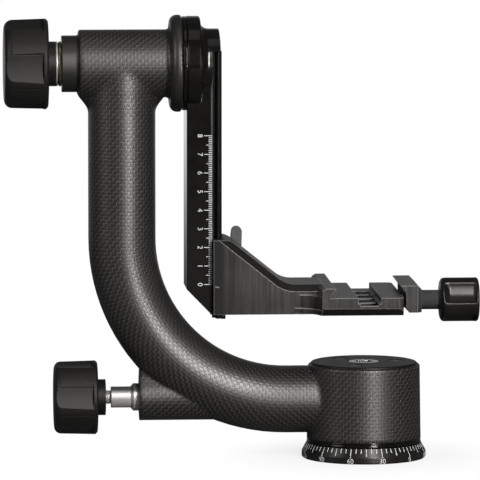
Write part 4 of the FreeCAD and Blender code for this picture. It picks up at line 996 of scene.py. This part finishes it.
studio = {
    "target": (-67.0, 0.0, 118.0),
    "cameraTurn": -3.85,
    "cameraRise": 5.9,
    "cameraDistance": 3229.0,
    "lens": 450.0,
    "sensor": 36.0,
    "clipEnd": 60.0,
    "ambient": 0.09,
    "backGlow": 0.35,
    "frontGlow": 0.06,
    "backStart": (0.86, 0.95),
    "floorRadius": 9.0,
    "floorDrop": 0.0001,
    "floorTint": 0.85,
    "mottle": 6.0,
    "mottleTint": 0.96,
    "mottleShare": 0.1,
    "floorBounce": 0.12,
    "floorBehind": (0.6, 2.4),
    "shadowShare": 0.18,
    "shadowReach": (0.03, 0.09),
}
lamps = {
    # turn to the right of the front, rise, distance, width, height, power
    "keyStrip": (20.0, 19.5, 1.4, 0.2, 1.2, 28.0),
    "leftFill": (-62.0, 22.0, 1.4, 0.5, 0.9, 4.5),
    "topFill": (10.0, 78.0, 1.3, 0.9, 0.6, 0.6),
}


def towards(turn, rise):
    turn, rise = radians(turn), radians(rise)
    return Vector((sin(turn) * cos(rise), -cos(turn) * cos(rise), sin(rise)))


def aim(thing, direction):
    thing.rotation_euler = direction.to_track_quat("Z", "Y").to_euler()


target = Vector(studio["target"]) * millimetre
for name, (turn, rise, distance, width, height, power) in lamps.items():
    light = bpy.data.lights.new(name, "AREA")
    light.shape = "RECTANGLE"
    light.size = width
    light.size_y = height
    light.energy = power
    lamp = bpy.data.objects.new(name, light)
    scene.collection.objects.link(lamp)
    lamp.location = target + towards(turn, rise) * distance
    aim(lamp, towards(turn, rise))
    lamp.visible_camera = False

camera = bpy.data.objects.new("camera", bpy.data.cameras.new("camera"))
scene.collection.objects.link(camera)
viewLine = towards(studio["cameraTurn"], studio["cameraRise"])
camera.location = target + viewLine * studio["cameraDistance"] * millimetre
aim(camera, viewLine)
camera.data.lens = studio["lens"]
camera.data.sensor_width = studio["sensor"]
camera.data.clip_end = studio["clipEnd"]
scene.camera = camera


def makeWorld(settings):
    # white to the camera; reflections meet a pale backdrop and a dim room in front of it
    world = bpy.data.worlds.new("studioWorld")
    scene.world = world
    start = emptyTree(world)
    ray = start.add("LightPath")
    seen = ray.out("Is Camera Ray")
    mirrored = ray.out("Is Glossy Ray").most(ray.out("Is Transmission Ray"))
    back = axesOf(start, "Generated")[1]
    behind = back.ease(*settings["backStart"], settings["frontGlow"], settings["backGlow"])
    strength = seen + (1 - seen) * (mirrored * behind + (1 - mirrored) * settings["ambient"])
    shader = start.add("Background", feeds={"Color": grey(1.0), "Strength": strength})
    start.add("OutputWorld", feeds={"Surface": shader})


def floorMaterial(settings):
    # white to the camera, with a little pale cloth and so a faint shadow round the base
    material = bpy.data.materials.new("paleFloor")
    start = emptyTree(material)
    x, y, _ = axesOf(start, "Object")
    mottle = start.add("TexNoise", feeds={"Scale": settings["mottle"], "Detail": 3.0})
    ray = start.add("LightPath")
    seen = ray.out("Is Camera Ray").most(ray.out("Is Transmission Ray"))
    far = x.reach(y).ease(*settings["shadowReach"], 1 - settings["shadowShare"])
    behind = y.ease(*settings["floorBehind"])
    share = seen * far + (1 - seen) * ray.out("Is Glossy Ray") * behind
    tint = settings["floorTint"]
    pale = (mottle * settings["mottleShare"]).mix(grey(tint), grey(tint * settings["mottleTint"]))
    pale = seen.mix(grey(settings["floorBounce"]), pale)
    feeds = {"Base Color": pale, "Roughness": 0.9, "Specular IOR Level": 0.0}
    cloth = start.add("BsdfPrincipled", feeds=feeds)
    glow = start.add("Emission", feeds={"Color": grey(1.0), "Strength": 1.0})
    both = start.add("MixShader", feeds={0: share, 1: cloth, 2: glow})
    start.add("OutputMaterial", feeds={"Surface": both})
    return material


def makeFloor(settings):
    mesh = bmesh.new()
    bmesh.ops.create_circle(mesh, cap_ends=True, segments=96, radius=settings["floorRadius"])
    data = bpy.data.meshes.new("paleFloor")
    mesh.to_mesh(data)
    mesh.free()
    floor = bpy.data.objects.new("paleFloor", data)
    scene.collection.objects.link(floor)
    floor.location.z = -settings["floorDrop"]
    data.materials.append(floorMaterial(settings))


makeWorld(studio)
makeFloor(studio)
print("studio: ", len(lamps), "lamps")
